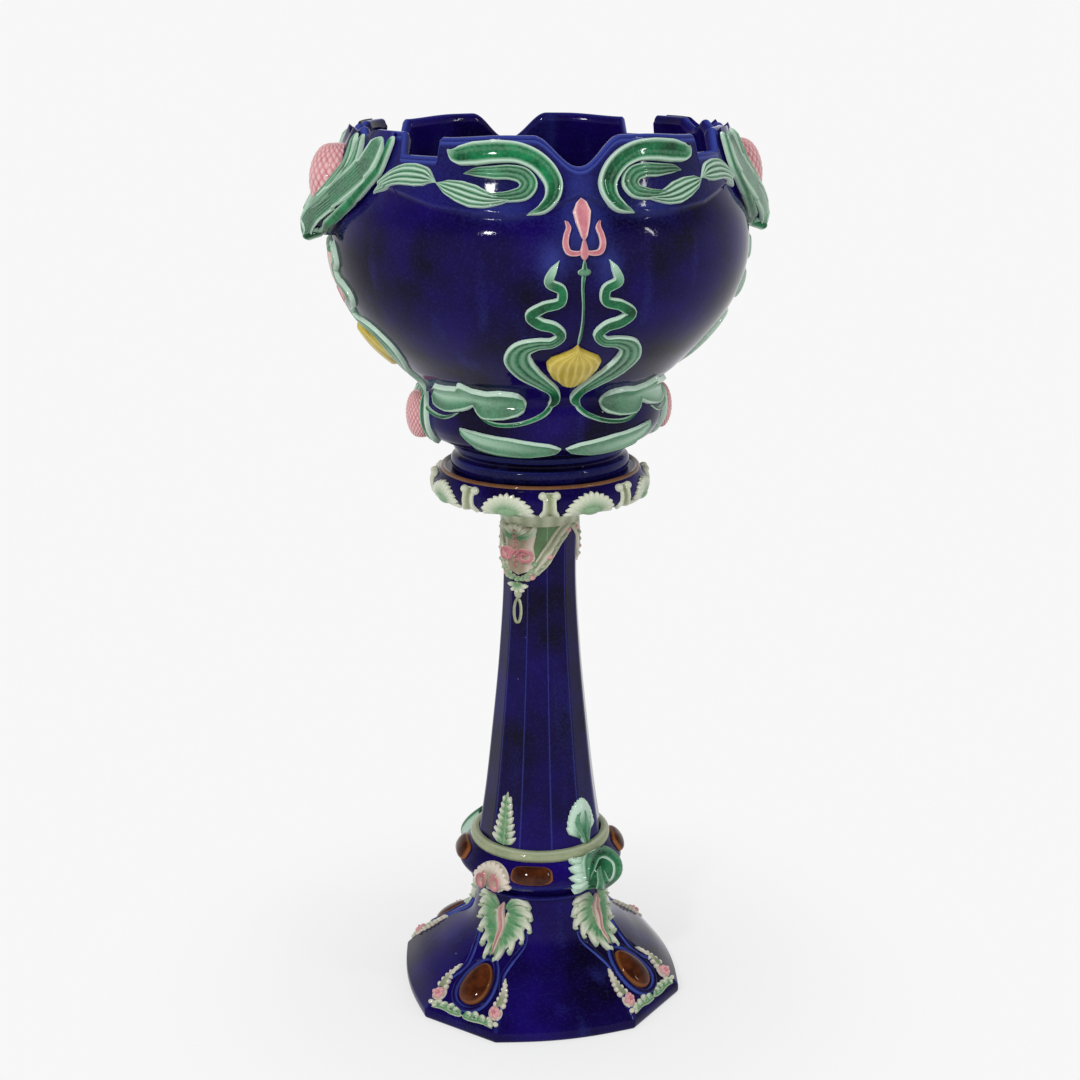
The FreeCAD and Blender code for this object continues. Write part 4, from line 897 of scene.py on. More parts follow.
def waist_and_base():
    leaves = Clay()
    for middle, hand in ((45.0, -1.0), (-45.0, 1.0), (135.0, 1.0), (225.0, -1.0)):
        spine = [(middle - hand * a, b) for a, b in WAIST_SPINE]
        strip(leaves, BODY, spine, *swapped(hand, WAIST_UP, WAIST_DOWN), 5.4, broad_leaf, steps=110,
              across=33, ends=0.035, pale_ends=0.9)
    fire(leaves, "waist_leaf_set", "leaf green glaze", POT, "waist_leaves")
    for name, middle in SIDES:
        pair = Clay()
        for hand in (1.0, -1.0):
            spine = [(middle + hand * a, b) for a, b in BASE_SPINE]
            strip(pair, BODY, spine, *swapped(-hand, BASE_UP, BASE_DOWN), 5.0, broad_leaf, steps=70,
                  across=23, ends=0.05, pale_ends=0.7)
            under = [(middle + hand * a, b) for a, b in ((12.0, 609.5), (22.0, 608.0), (34.0, 610.0),
                                                         (45.0, 616.5))]
            ribbon(pair, BODY, under, (0.5, 2.0, 2.2, 0.5), 3.0, plump, steps=40, across=9)
        fire(pair, "base_leaf_pair_" + name, "leaf green glaze", POT, "base_leaves_" + name)


def swapped(hand, up, down):
    """Half widths left and right of a spine that runs towards +X, or towards -X."""
    return (down, up) if hand < 0 else (up, down)


def broad_leaf(s, t):
    """A narrow pale rim round a sunk green field that deepens towards one end and in its folds."""
    height = sides_off(t, 0.08) * (0.62 + 0.38 * np.abs(t) ** 4)
    fold = np.exp(-((t + 0.15) / 0.10) ** 2) * rise(s, 0.2, 0.5)
    bright = 0.16 + 0.46 * rise(s, 0.0, 0.8) * (1.0 - rise(np.abs(t + 0.2), 0.1, 0.9))
    return height - 0.06 * fold, np.maximum(rise(np.abs(t), 0.80, 0.97), bright)


# ---- handles -------------------------------------------------------------------------------------
def fruit(clay, degrees, radius, z, wide, deep, tall):
    """A plump fruit covered with small raised scales."""
    up = np.linspace(-0.5 * np.pi, 0.5 * np.pi, 90)[:, None]
    turn = np.linspace(0.0, 2.0 * np.pi, 140, endpoint=False)[None, :]
    girth = np.cos(up) ** 0.85
    scale = np.abs(np.sin(11.0 * (turn + 0.9 * up)) * np.sin(11.0 * (turn - 0.9 * up))) ** 0.5
    swell = 1.6 * scale * rise(girth, 0.15, 0.6)
    x = (0.5 * wide + swell) * girth * np.cos(turn)
    y = -(0.5 * deep + swell) * girth * np.sin(turn)
    height = (0.5 * tall + swell) * np.sin(up) + 0.0 * turn
    a = math.radians(degrees)
    side = np.array([math.cos(a), math.sin(a), 0.0])
    out = np.array([math.sin(a), -math.cos(a), 0.0])
    top = np.array([0.0, 0.0, 1.0])
    place = side * x[..., None] + out * (radius - y)[..., None] + top * (z + height)[..., None]
    clay.grid(place, 0.75 * rise(scale, 0.30, 0.95), 0.0, closed=True)


LIP_OUTER = ((0.86, 0.02), (0.84, 0.20), (0.80, 0.38), (0.72, 0.56), (0.56, 0.76), (0.25, 0.97),
             (0.0, 1.07))
LIP_STRANDS = (((0.52, 0.01), (0.60, 0.22), (0.58, 0.44), (0.45, 0.66), (0.18, 0.86)),
               ((0.36, 0.01), (0.47, 0.22), (0.46, 0.46), (0.33, 0.68), (0.08, 0.86)))


def handles():
    for name, middle in (("left", -90.0), ("right", 90.0)):
        lip = Lip(middle, BODY)
        shell = Clay()
        across = np.linspace(-1.0, 1.0, 81)[None, :]
        down = np.linspace(0.0, 1.0, 70)[:, None]
        hollow = 1.5 * np.exp(-((np.abs(across) - 0.66) / 0.12) ** 2) * (1.0 - rise(down, 0.6, 0.95))
        face = lip.lifted(across + 0.0 * down, down + 0.0 * across, -hollow)
        horn = lip_top(across[0])
        face[..., 2] += horn * (1.0 - rise(down, 0.0, 0.28))
        thin = 0.5 * rise(np.abs(across) + 0.0 * down, 0.94, 1.0)
        shell.grid(face, thin)
        shell.grid(behind(face[:, ::-1]), 0.0)
        fire(shell, "handle_shell_" + name, "cobalt glaze", POT, "handle_" + name)
        leaves = Clay()
        for hand in (1.0, -1.0):
            outer = [(hand * a, b) for a, b in LIP_OUTER]
            wide_out = (8.0, 11.5, 12.5, 12.0, 11.0, 8.0, 2.0)
            wide_in = (8.0, 11.0, 12.0, 11.0, 9.0, 6.0, 2.0)
            strip(leaves, lip, outer, *swapped(-hand, wide_in, wide_out), 6.0, brushed_leaf, steps=80,
                  across=29, ends=0.06, pale_ends=0.7)
            for spine in LIP_STRANDS:
                drawn = [(hand * a, b) for a, b in spine]
                wide = (3.0, 5.2, 5.6, 4.8, 1.0)
                ribbon(leaves, lip, drawn, wide, 6.5, ridged(2.0, 0.14, 0.45), steps=60, across=17,
                       ends=0.08)
            brim = [(hand * a, b) for a, b in ((0.985, 0.0), (0.985, 0.3), (0.985, 0.6), (0.97, 0.88),
                                               (0.75, 1.02), (0.0, 1.08))]
            edge = (3.0, 4.2, 5.0, 5.2, 5.0, 4.4)
            ribbon(leaves, lip, brim, edge, 4.4, plump, steps=60, across=11, ends=0.03, pale_ends=0.9)
        fire(leaves, "handle_leaf_set_" + name, "leaf green glaze", POT, "handle_leaves_" + name)
        ball = Clay()
        fruit(ball, middle, radius=195.0, z=861.0, wide=66.0, deep=54.0, tall=72.0)
        fire(ball, "scaled_fruit_" + name, "rose glaze", POT, "handle_fruit_" + name)
        lug = Clay()
        fruit(lug, middle, radius=121.0, z=632.0, wide=48.0, deep=26.0, tall=46.0)
        fire(lug, "small_scaled_fruit_" + name, "rose glaze", POT, "base_fruit_" + name)
        side_leaves = Clay()
        for hand in (1.0, -1.0):
            spine = BODY.sheet(middle, 632.0, ((24.0, 27.0), (30.0, 14.0), (30.0, -2.0), (24.0, -17.0),
                                               (9.0, -25.0)), hand)
            wide = (1.0, 6.0, 7.0, 6.0, 1.0)
            ribbon(side_leaves, BODY, spine, wide, 6.0, dished, steps=50, across=15)
        fire(side_leaves, "small_fruit_leaves_" + name, "leaf green glaze", POT,
             "base_fruit_leaves_" + name)


def lip_top(across):
    """The two horns over a handle and the hollows beside them."""
    x = LIP_HALF * across
    hollow = sizes().horn_deep * np.abs(np.cos(0.5 * np.pi * x / HORN_HALF)) ** HORN_SHARP
    return RIM_Z - LIP_TOP - hollow * (np.abs(x) < HORN_REACH)


def brushed_leaf(s, t):
    """A broad leaf with a pale rim and long brush strokes of deeper green."""
    wave = np.cos(9.0 * np.pi * t + 2.0 * np.sin(5.0 * s))
    height = sides_off(t) * (0.66 + 0.26 * t * t + 0.06 * wave)
    return height, np.maximum(rise(np.abs(t), 0.55, 0.95), 0.26 * (0.5 + 0.5 * wave))


def behind(face):
    """The underside of a handle: from the edge of its face back to the belly."""
    edge = np.concatenate([face[:, 0], face[-1, 1:-1], face[::-1, -1], face[0, -2:0:-1]])
    radius = np.linalg.norm(edge[:, :2], axis=1)
    low = edge[:, 2] - 4.0 * rise(LIP_TOP + 1.0 - edge[:, 2], 20.0, 95.0)
    wall = BODY.radius(0.0, np.clip(low, POT_PROFILE[0][0], RIM_Z - 1.0)) - 2.5
    inner = edge * np.stack([wall / radius, wall / radius, np.zeros(len(edge))], -1)
    inner[:, 2] = np.minimum(low, LIP_TOP - 1.0)
    share = np.linspace(0.0, 1.0, 8)[:, None, None]
    sag = np.sin(np.pi * share) * np.array([0.0, 0.0, -2.0])
    return edge[None] * (1.0 - share) + inner[None] * share + sag


# ---- the stand -----------------------------------------------------------------------------------
def stand_walls():
    degrees = np.linspace(0.0, 360.0, 720, endpoint=False)[None, :]
    foot = Clay()
    z = np.linspace(FOOT_EDGE_Z, FOOT_TOP_Z, 110)[:, None]
    corner = np.abs(np.abs(from_middle(degrees, 90.0)) - LONG_SIDE)
    arris = 0.16 * np.exp(-(corner / 0.9) ** 2) * (1.0 - rise(z, 20.0, 60.0))
    foot.grid(FOOT.lifted(degrees + 0.0 * z, z + 0.0 * degrees, 0.0), arris, 0.0, closed=True)
    fire(foot, "foot_flare_wall", "cobalt glaze", STAND, "foot_flare")
    edge = Clay()
    low = np.array([(0.0, 3.0), (0.6, 1.2), (2.4, 0.2), (5.0, 0.0), (8.0, 0.1), (10.2, 0.5), (11.4, 1.4)])
    plan = FOOT.radius(degrees, np.full_like(degrees, FOOT_EDGE_Z))[0]
    radius = plan[None, :] + 0.9 - low[:, 1:]
    turn = np.radians(degrees[0])[None, :]
    rim = np.stack([radius * np.sin(turn), -radius * np.cos(turn), low[:, :1] + 0.0 * turn], -1)
    inside = rim[:1] * np.array([0.94, 0.94, 1.0])
    edge.grid(np.concatenate([inside, rim]), 0.0, 0.0, closed=True)
    fire(edge, "foot_edge_wall", "cobalt glaze", STAND, "foot_edge")
    band = Clay()
    z = np.linspace(FOOT_TOP_Z, BAND_TOP_Z, 70)[:, None]
    # A pale line round the band's shoulder: thin glaze and a painted highlight.
    band.grid(BAND.lifted(degrees + 0.0 * z, z + 0.0 * degrees, 0.0),
              0.22 * np.exp(-((z - 142.0) / 2.5) ** 2) + 0.0 * degrees, 0.0, closed=True)
    fire(band, "band_wall", "cobalt glaze", STAND, "knot_band")
    shaft = Clay()
    z = np.linspace(BAND_TOP_Z - 1.0, SHAFT_PROFILE[-1][0] + 1.0, 240)[:, None]
    # Pale lines on the shaft's arrises: thin glaze and painted highlights.
    arris = np.abs(from_middle(degrees, 30.0))
    thin = 0.30 * np.exp(-(arris / 0.7) ** 2) + 0.0 * z
    from_face = np.abs(from_middle(degrees - FACE, 180.0))
    swag = np.interp(from_face, *zip(*ARCH))
    shaft.grid(SHAFT.lifted(degrees + 0.0 * z, z + 0.0 * degrees, 0.0), thin,
               rise(z, swag - 1.0, swag + 6.0), closed=True)
    fire(shaft, "shaft_wall", "cobalt glaze", STAND, "shaft")


def mouldings():
    roll = Clay()
    profile = [(68.0, 165.6), (72.4, 165.6), (74.2, 167.6), (74.6, 170.4), (73.4, 173.6), (70.6, 175.6),
               (65.5, 176.2)]
    # The roll's widest line is paler: thin glaze and a painted highlight.
    roll.grid(turned(profile, 200), crest_glaze_and_highlight(profile, 0.7, 200), 0.0, closed=True)
    fire(roll, "celadon_roll", "celadon glaze", STAND, "band_bead")
    ankle = Clay()
    profile = [(69.0, 121.4), (72.8, 121.8), (74.2, 124.0), (72.8, 126.2), (69.6, 126.8)]
    # The ankle roll's widest line is paler: thin glaze and a painted highlight.
    ankle.grid(turned(profile, 200), crest_glaze_and_highlight(profile, 0.25, 200), 0.0, closed=True)
    fire(ankle, "ankle_roll", "cobalt glaze", STAND, "ankle_bead")
    neck = Clay()
    degrees = np.linspace(0.0, 360.0, 240, endpoint=False)[None, :]
    z = np.linspace(519.0, 547.0, 40)[:, None]
    leafy = 0.5 + 0.5 * np.cos(np.radians(degrees * 16.0))
    neck.grid(NECK.lifted(degrees + 0.0 * z, z + 0.0 * degrees, 1.2 * leafy * rise(z, 523.0, 540.0)),
              0.25 + 0.35 * leafy + 0.0 * z, 0.0, closed=True)
    fire(neck, "celadon_neck", "celadon glaze", STAND, "capital_neck")
    deck = Clay()
    profile = [(97.5, 546.6)] + [(r, z) for z, r in CAPITAL_PROFILE] + [(97.0, 574.3)]
    deck.grid(turned(profile, 240), 0.0, 0.0, closed=True)
    deck.grid(turned([(97.2, 574.2), (60.0, 574.0), (0.4, 574.0)], 240, plain=True), 0.0, 0.0, closed=True)
    fire(deck, "capital_wall", "cobalt glaze", STAND, "capital")
    line = Clay()
    profile = [(95.6, 573.8), (96.4, 575.6), (98.4, 576.4), (100.2, 575.8), (101.2, 574.2), (101.0, 572.4)]
    # The seat line's crest is paler: thin glaze and a painted highlight.
    line.grid(turned(profile, 240), crest_glaze_and_highlight(profile, 0.5, 240), 0.0, closed=True)
    fire(line, "brown_seat_line", "brown line glaze", STAND, "seat_line")


def fan(clay, surface, middle, z, reach_side, reach_top, leaflets, height, wide=3.0, spread_deg=86.0,
        tint=0.0, flip=1.0, droop=0.0):
    """A spread of narrow leaflets from one point, longest in the middle."""
    for i in range(leaflets):
        share = 2.0 * i / (leaflets - 1) - 1.0
        lean = math.radians(spread_deg * share)
        reach_x, reach_y = reach_side * math.sin(lean), reach_top * math.cos(lean)
        places = []
        for step in (0.0, 0.35, 0.7, 1.0):
            curl = droop * step ** 2 * abs(share)
            places.append((reach_x * step, flip * (reach_y * step + 2.0 * math.sin(math.pi * step) - curl)))
        spine = surface.sheet(middle, z, places)
        half = (0.45 * wide, 0.8 * wide, wide, 0.35 * wide)
        ribbon(clay, surface, spine, half, height * (1.0 - 0.25 * abs(share)), leaflet, steps=20, across=11,
               ends=0.12, pale_ends=0.9, tint=tint)


def leaflet(s, t):
    height = np.sqrt(np.clip(1.0 - t * t, 0.0, 1.0)) * (0.82 + 0.18 * s) - 0.22 * np.exp(-(t / 0.22) ** 2)
    return height, np.clip(rise(s, 0.22, 0.85) + 0.40 * rise(np.abs(t), 0.4, 1.0), 0.0, 1.0)


def capital_relief():
    fans, tongues = Clay(), Clay()
    apart = 360.0 / CAPITAL_FANS
    for k in range(CAPITAL_FANS):
        middle = FIRST_FAN + apart * k
        fan(fans, CAPITAL, middle, 550.0, 28.0, 20.0, leaflets=13, height=4.2, wide=3.6, droop=3.0)
        dome(fans, CAPITAL, (middle, 553.0), 11.0, 5.0, 4.6, thin=0.2, rings=8, around=24)
        for hand in (1.0, -1.0):
            spine = CAPITAL.sheet(middle, 552.0, ((3.0, -2.0), (9.0, 1.0), (15.0, 0.0), (20.0, 4.0)), hand)
            ribbon(fans, CAPITAL, spine, (1.5, 2.4, 2.2, 0.6), 3.2, leaflet, steps=20, across=9)
        tongue = CAPITAL.sheet(middle + 0.5 * apart, 559.0, [(0.0, -11.0), (0.0, -4.0), (0.0, 4.0),
                                                             (0.0, 12.0)])
        wide = (11.0, 7.0, 6.4, 9.0)
        ribbon(tongues, CAPITAL, tongue, wide, 4.2, ridged(1.0, 0.30, 0.9), steps=40, across=25, ends=0.08,
               pale_ends=0.9)
        for hand in (1.0, -1.0):
            at = CAPITAL.sheet(middle + 0.5 * apart, 570.0, [(hand * 6.5, -2.0)])[0]
            dome(tongues, CAPITAL, at, 4.4, 3.4, 5.4, thin=0.8, rings=8, around=16)
    fire(fans, "capital_fans", "mint and rose glaze", STAND, "capital_acanthus")
    fire(tongues, "capital_tongue_set", "celadon glaze", STAND, "capital_tongues")


def spiral(start, turns, outer, inner, hand=1.0, steps=14):
    """Places of a spiral that winds in, in millimetres."""
    places = []
    for i in range(steps):
        share = i / (steps - 1.0)
        radius = outer + (inner - outer) * share
        angle = math.radians(start) + hand * 2.0 * math.pi * turns * share
        places.append((radius * math.cos(angle), radius * math.sin(angle)))
    return places


def moved(places, x, y):
    return [(x + a, y + b) for a, b in places]


def shaft_relief():
    shields, cups, drops, arches = Clay(), Clay(), Clay(), Clay()
    for middle in (FACE, FACE - 180.0):
        half = (3.0, 15.0, 19.0, 17.0, 20.0, 16.0, 3.0)
        rows = (-27.0, -21.0, -9.0, 4.0, 17.0, 25.0, 29.0)
        ground = SHAFT.sheet(middle, SHIELD_Z, [(0.0, y) for y in rows])
        ribbon(shields, SHAFT, ground, half, 5.0, plump, steps=40, across=29, tint=0.45, pale_ends=0.6)
        for hand in (1.0, -1.0):
            coil = spiral(200.0 if hand > 0 else -20.0, 1.6, 8.0, 1.6, -hand, 16)
            curl = SHAFT.sheet(middle, SHIELD_Z, moved(coil, hand * 9.5, -5.0))
            ribbon(shields, SHAFT, curl, [2.0] * 16, 9.0, plump, steps=70, across=9, tint=1.0)
            crest = SHAFT.sheet(middle, SHIELD_Z, ((2.0, 12.0), (10.0, 16.0), (17.0, 22.0), (19.0, 29.0)),
                                hand)
            ribbon(shields, SHAFT, crest, (3.0, 4.0, 4.0, 1.0), 8.0, leaflet, steps=30, across=11)
        for i in range(8):
            dome(shields, SHAFT, (middle, 478.0 + 5.2 * i), 2.4, 2.1, 4.0, lift=4.6, tint=0.8, rings=7,
                 around=14)
        fan(shields, SHAFT, middle, 505.0, 18.0, 17.0, leaflets=7, height=8.5, wide=3.4, spread_deg=70.0,
            tint=0.1)
        for i in range(9):
            angle = math.radians(200.0 + 17.5 * i)
            at = SHAFT.sheet(middle, 489.0, [(19.5 * math.cos(angle), 27.0 * math.sin(angle))])[0]
            dome(cups, SHAFT, at, 3.4, 3.0, 6.0, tint=0.0, thin=0.25, rings=8, around=16)
        fan(cups, SHAFT, middle, 458.0, 12.0, 11.0, leaflets=5, height=5.5, wide=2.6, spread_deg=80.0,
            flip=-1.0)
        bead = SHAFT.sheet(middle, 448.0, [(0.0, 0.0)])[0]
        dome(drops, SHAFT, bead, 4.4, 7.4, 4.4, thin=0.3, rings=10, around=20)
        loop = SHAFT.sheet(middle, 428.0,
                           [(4.2 * x, 12.5 * y) for x, y in spiral(90.0, 0.98, 1.0, 1.0, 1.0, 17)])
        ribbon(drops, SHAFT, loop, [1.4] * 17, 2.6, plump, steps=60, across=9, ends=0.02)
        for hand in (1.0, -1.0):
            spine = mirrored(ARCH[1:], hand, middle)
            wide = (3.0, 5.0, 6.5, 7.0, 7.0, 7.0, 3.0)
            ribbon(arches, SHAFT, spine, wide, 5.0, ridged(2.0, 0.2, 0.7), steps=80, across=17, tint=0.25)
            for i in range(9):
                share = (i + 0.5) / 9.0
                a, b = along(np.linspace(0, 1, 7), spine, np.array([share]))[0]
                dome(arches, SHAFT, (a, b - 4.5), 3.6, 3.2, 5.4, tint=0.9 if i % 3 == 1 else 0.2, thin=0.3,
                     rings=7, around=14)
    fire(shields, "shaft_shields", "mint and rose glaze", STAND, "shaft_cartouches")
    fire(cups, "shield_cups", "mint and rose glaze", STAND, "cartouche_leaves")
    fire(drops, "pendant_drops", "celadon glaze", STAND, "shaft_drops")
    fire(arches, "arched_garlands", "mint and rose glaze", STAND, "shaft_garlands")


def band_relief():
    palms, sprigs, knots, crests, stones = Clay(), Clay(), Clay(), Clay(), Clay()
    for turn in (0.0, 180.0):
        middle = FACE + turn
        dome(palms, BAND, (middle, 148.0), 22.0, 14.5, 5.0, thin=0.3, tint=0.35)
        fan(palms, BAND, middle, 141.0, 24.0, 21.0, leaflets=11, height=7.0, wide=4.2, spread_deg=88.0,
            tint=0.4)
        fan(palms, BAND, middle, 147.0, 19.0, 14.0, leaflets=7, height=7.0, wide=4.0, spread_deg=84.0,
            flip=-1.0, tint=0.1)
        for hand in (1.0, -1.0):
            curl = BAND.sheet(middle, 146.0, moved(spiral(90.0, 1.3, 6.0, 1.5, hand, 12), hand * 9.0, 0.0))
            ribbon(palms, BAND, curl, [1.8] * 12, 9.5, plump, steps=50, across=9, tint=0.9)
        for i in range(7):
            z = 179.0 + 7.0 * i
            reach = 14.5 - 1.75 * i
            for hand in (1.0, -1.0):
                spine = SHAFT.sheet(middle, z, [(0.0, 0.0), (hand * 0.5 * reach, 3.0), (hand * reach, 8.5)])
                ribbon(sprigs, SHAFT, spine, (2.4, 3.9, 0.9), 4.2, leaflet, steps=18, across=11)
        stalk = SHAFT.sheet(middle, 176.0, [(0.0, 0.0), (0.0, 28.0), (0.0, 58.0)])
        ribbon(sprigs, SHAFT, stalk, (2.2, 2.0, 1.2), 4.4, plump, steps=40, across=9, pale_ends=0.9)
        knot(knots, KNOT + turn)
        crest_leaf(crests, KNOT + turn)
    for middle in BAND_STONES:
        dome(stones, BAND, (middle, 155.0), 22.0, 7.8, 7.5, power=3.4, rings=18, around=64, edge=0.42)
    fire(palms, "band_palmette_set", "mint and rose glaze", STAND, "band_palmettes")
    fire(sprigs, "band_sprig_set", "mint and rose glaze", STAND, "band_sprigs")
    fire(knots, "leaf_knots", "leaf green glaze", STAND, "band_knots")
    fire(crests, "knot_crests", "leaf green glaze", STAND, "knot_leaves")
    fire(stones, "band_cabochons", "amber glaze", STAND, "band_stones")


def knot(clay, middle):
    """A thick leaf that winds round an eye, with a spray of pale-edged strands beside it."""
    dome(clay, BAND, (middle - 2.0, KNOT_Z), 29.0, 20.0, 9.0, edge=0.5)
    coil = BAND.sheet(middle - 2.0, KNOT_Z,
                      [(1.45 * x + 3.0, 1.05 * y) for x, y in spiral(200.0, 1.30, 17.0, 4.5, -1.0, 22)])
    wide = np.interp(np.linspace(0, 1, 22), (0, 0.12, 0.5, 1.0), (2.0, 7.6, 8.8, 3.4))
    ribbon(clay, BAND, coil, wide, 15.0, ridged(1.5, 0.10, 0.16), steps=120, across=19, pale_ends=0.2)
    for i, (rise_up, wide_at) in enumerate(((17.0, 5.0), (9.0, 5.6), (1.0, 5.6), (-7.0, 5.0),
                                            (-13.0, 4.0))):
        strand = BAND.sheet(middle, KNOT_Z, [(-6.0, 0.5 * rise_up), (-20.0, 2.0 + 0.7 * rise_up),
                                             (-33.0, 0.95 * rise_up),
                                             (-43.0 + 2.0 * abs(i - 2), 2.0 + 1.0 * rise_up)])
        half = (2.4, 0.8 * wide_at, wide_at, 1.6)
        ribbon(clay, BAND, strand, half, 8.0 - 0.6 * abs(i - 2), leaflet, steps=40, across=13)


def crest_leaf(clay, middle):
    """A rounded shell leaf with a pale frilled edge over each knot."""
    fan(clay, SHAFT, middle - 4.0, 182.0, 22.0, 43.0, leaflets=15, height=5.5, wide=6.2, spread_deg=70.0)
    half = (3.0, 7.0, 12.0, 14.5, 11.0, 3.0)
    core = SHAFT.sheet(middle - 4.0, 182.0, [(1.5, -8.0), (1.0, 2.0), (0.5, 11.0), (0.0, 20.0), (0.0, 27.0),
                                             (0.0, 33.0)])
    ribbon(clay, SHAFT, core, half, 6.5, ridged(2.5, 0.16, 0.20), steps=50, across=25)


def foot_relief():
    leaves, frames, stones, sprays, frills = Clay(), Clay(), Clay(), Clay(), Clay()
    for corner in (45.0, 135.0, 225.0, 315.0):
        foot_acanthus(leaves, corner)
        ring = [(20.5 * x, 18.5 * y) for x, y in spiral(90.0, 0.99, 1.0, 1.0, 1.0, 25)]
        ribbon(frames, FOOT, FOOT.sheet(corner, FOOT_STONE_Z, ring), [3.2] * 25, 4.2, plump, steps=90,
               across=11, ends=0.01, pale_ends=0.2)
        for hand in (1.0, -1.0):
            path = FOOT.sheet(corner, 62.0, ((24.0, -44.0), (24.0, -28.0), (19.0, -13.0), (25.0, 0.0),
                                             (33.0, 12.0), (36.0, 26.0)), hand)
            ribbon(frames, FOOT, path, (1.5, 2.6, 2.8, 2.8, 2.4, 1.2), 2.8, plump, steps=60, across=9)
            spray(sprays, corner, hand)
            frill(frills, corner, hand)
        dome(stones, FOOT, (corner, FOOT_STONE_Z), 16.5, 14.5, 8.5, rings=18, around=48, edge=0.45)
    fire(leaves, "foot_acanthus_set", "mint and rose glaze", STAND, "foot_acanthus")
    fire(frames, "raised_stone_frames", "cobalt glaze", STAND, "stone_frames")
    fire(stones, "foot_cabochons", "amber glaze", STAND, "foot_stones")
    fire(sprays, "rose_sprays", "mint and rose glaze", STAND, "flower_sprays")
    fire(frills, "corner_leaf_set", "mint and rose glaze", STAND, "corner_leaves")


def foot_acanthus(clay, corner):
    """Two halves of a hanging leaf with curled lobes, and a furled pink rib between."""
    lobes = (((5.0, 22.0), (20.0, 36.0), (33.0, 30.0), 5.4), ((6.0, 20.0), (24.0, 25.0), (35.0, 16.0), 5.8),
             ((6.0, 14.0), (24.0, 13.0), (34.0, 2.0), 6.0), ((5.0, 6.0), (20.0, 2.0), (26.0, -10.0), 5.8),
             ((4.0, -2.0), (13.0, -8.0), (16.0, -20.0), 5.2),
             ((2.0, -8.0), (6.0, -16.0), (5.0, -29.0), 4.4))
    for hand in (1.0, -1.0):
        blade = FOOT.sheet(corner, ACANTHUS_Z, [(hand * 15.0, 31.0), (hand * 17.0, 16.0),
                                                (hand * 12.0, 0.0), (hand * 6.0, -14.0),
                                                (hand * 2.0, -25.0)])
        half = (5.0, 13.0, 12.0, 7.0, 2.0)
        ribbon(clay, FOOT, blade, half, 3.4, plump, steps=40, across=17, pale_ends=0.2)
        for start, bend, tip, wide in lobes:
            spine = FOOT.sheet(corner, ACANTHUS_Z, (start, bend, tip), hand)
            ribbon(clay, FOOT, spine, (2.6, wide, 1.4), 5.6, leaflet, steps=30, across=15)
            curl = FOOT.sheet(corner, ACANTHUS_Z, [(hand * tip[0] * 0.94, tip[1] * 0.94)])[0]
            dome(clay, FOOT, curl, 2.8, 2.4, 6.4, thin=0.55, rings=6, around=12)
    rib = FOOT.sheet(corner, ACANTHUS_Z, [(2.0, 30.0), (-1.0, 18.0), (1.5, 4.0), (-0.5, -10.0),
                                          (0.0, -24.0)])
    half = (2.6, 3.4, 3.2, 2.4, 0.8)
    ribbon(clay, FOOT, rib, half, 8.0, ridged(1.0, 0.2, 0.5), steps=50, across=13, tint=0.75)


def spray(clay, corner, hand):
    """A rose and a curved, tapering plume above it on each side of a stone."""
    plume = FOOT.sheet(corner, 32.0, ((34.0, -4.0), (36.0, 3.0), (35.5, 9.0), (33.0, 16.0)), hand)
    ribbon(clay, FOOT, plume, (5.0, 3.8, 2.4, 0.6), 4.4, leaflet, steps=40, across=13, tint=0.25)
    for i in range(5):
        at = along(np.linspace(0, 1, 4), plume, np.array([0.12 + 0.17 * i]))[0]
        for side in (1.0, -1.0):
            dome(clay, FOOT, (at[0] + side * (1.9 - 0.3 * i), at[1]), 2.7 - 0.3 * i, 1.9 - 0.2 * i, 4.0,
                 thin=0.85, tint=0.3, rings=6, around=12)
    centre = FOOT.sheet(corner, 25.0, [(hand * 35.0, 0.0)])[0]
    dome(clay, FOOT, centre, 8.0, 5.6, 3.6, thin=0.6, tint=0.3, rings=8, around=20)
    for i in range(6):
        angle = math.radians(60.0 * i)
        petal = (centre[0] + 1.5 * math.cos(angle), centre[1] + 2.4 * math.sin(angle))
        dome(clay, FOOT, petal, 3.2, 2.4, 6.0, thin=0.35, tint=1.0, rings=7, around=14)
    dome(clay, FOOT, centre, 2.2, 1.7, 7.4, thin=0.1, tint=1.0, rings=7, around=14)
    for x, y in ((30.0, -5.5), (38.0, -7.5), (33.0, -9.0)):
        dome(clay, FOOT, FOOT.sheet(corner, 25.0, [(hand * x, y)])[0], 3.2, 2.0, 3.0, thin=0.8, tint=0.2,
             rings=6, around=12)


def frill(clay, corner, hand):
    """A leafy scroll along the foot's edge at each corner."""
    band = FOOT.sheet(corner, 14.6, ((0.0, 0.8), (12.0, 0.0), (24.0, 1.2), (38.0, -0.8)), hand)
    strip(clay, FOOT, band, (2.2, 2.0, 2.4, 0.8), (2.2, 2.0, 2.0, 0.8), 3.0, ridged(1.0, 0.2, 0.5),
          steps=50, across=13)
    for x, reach in ((3.0, 6.0), (11.0, 7.5), (20.0, 6.5), (29.0, 5.0)):
        spine = FOOT.sheet(corner, 14.5, [(hand * x, 0.0), (hand * (x + 4.0), 0.75 * reach),
                                          (hand * (x + 9.0), 0.55 * reach)])
        ribbon(clay, FOOT, spine, (1.8, 2.8, 0.8), 3.8, leaflet, steps=24, across=11)
        dome(clay, FOOT, FOOT.sheet(corner, 15.0, [(hand * (x + 7.0), 0.4 * reach)])[0], 2.4, 1.5, 4.4,
             thin=0.5, rings=6, around=12)


# ---- studio, in metres ---------------------------------------------------------------------------
LENS, CAMERA_AWAY, CAMERA_Z, CAMERA_AIM_Z, CAMERA_TURN = 61.88, 1.830, 1.027, 0.494, -11.0
FLOOR_RADIUS, FLOOR_RINGS, FLOOR_SPOKES = 14.0, 12, 96


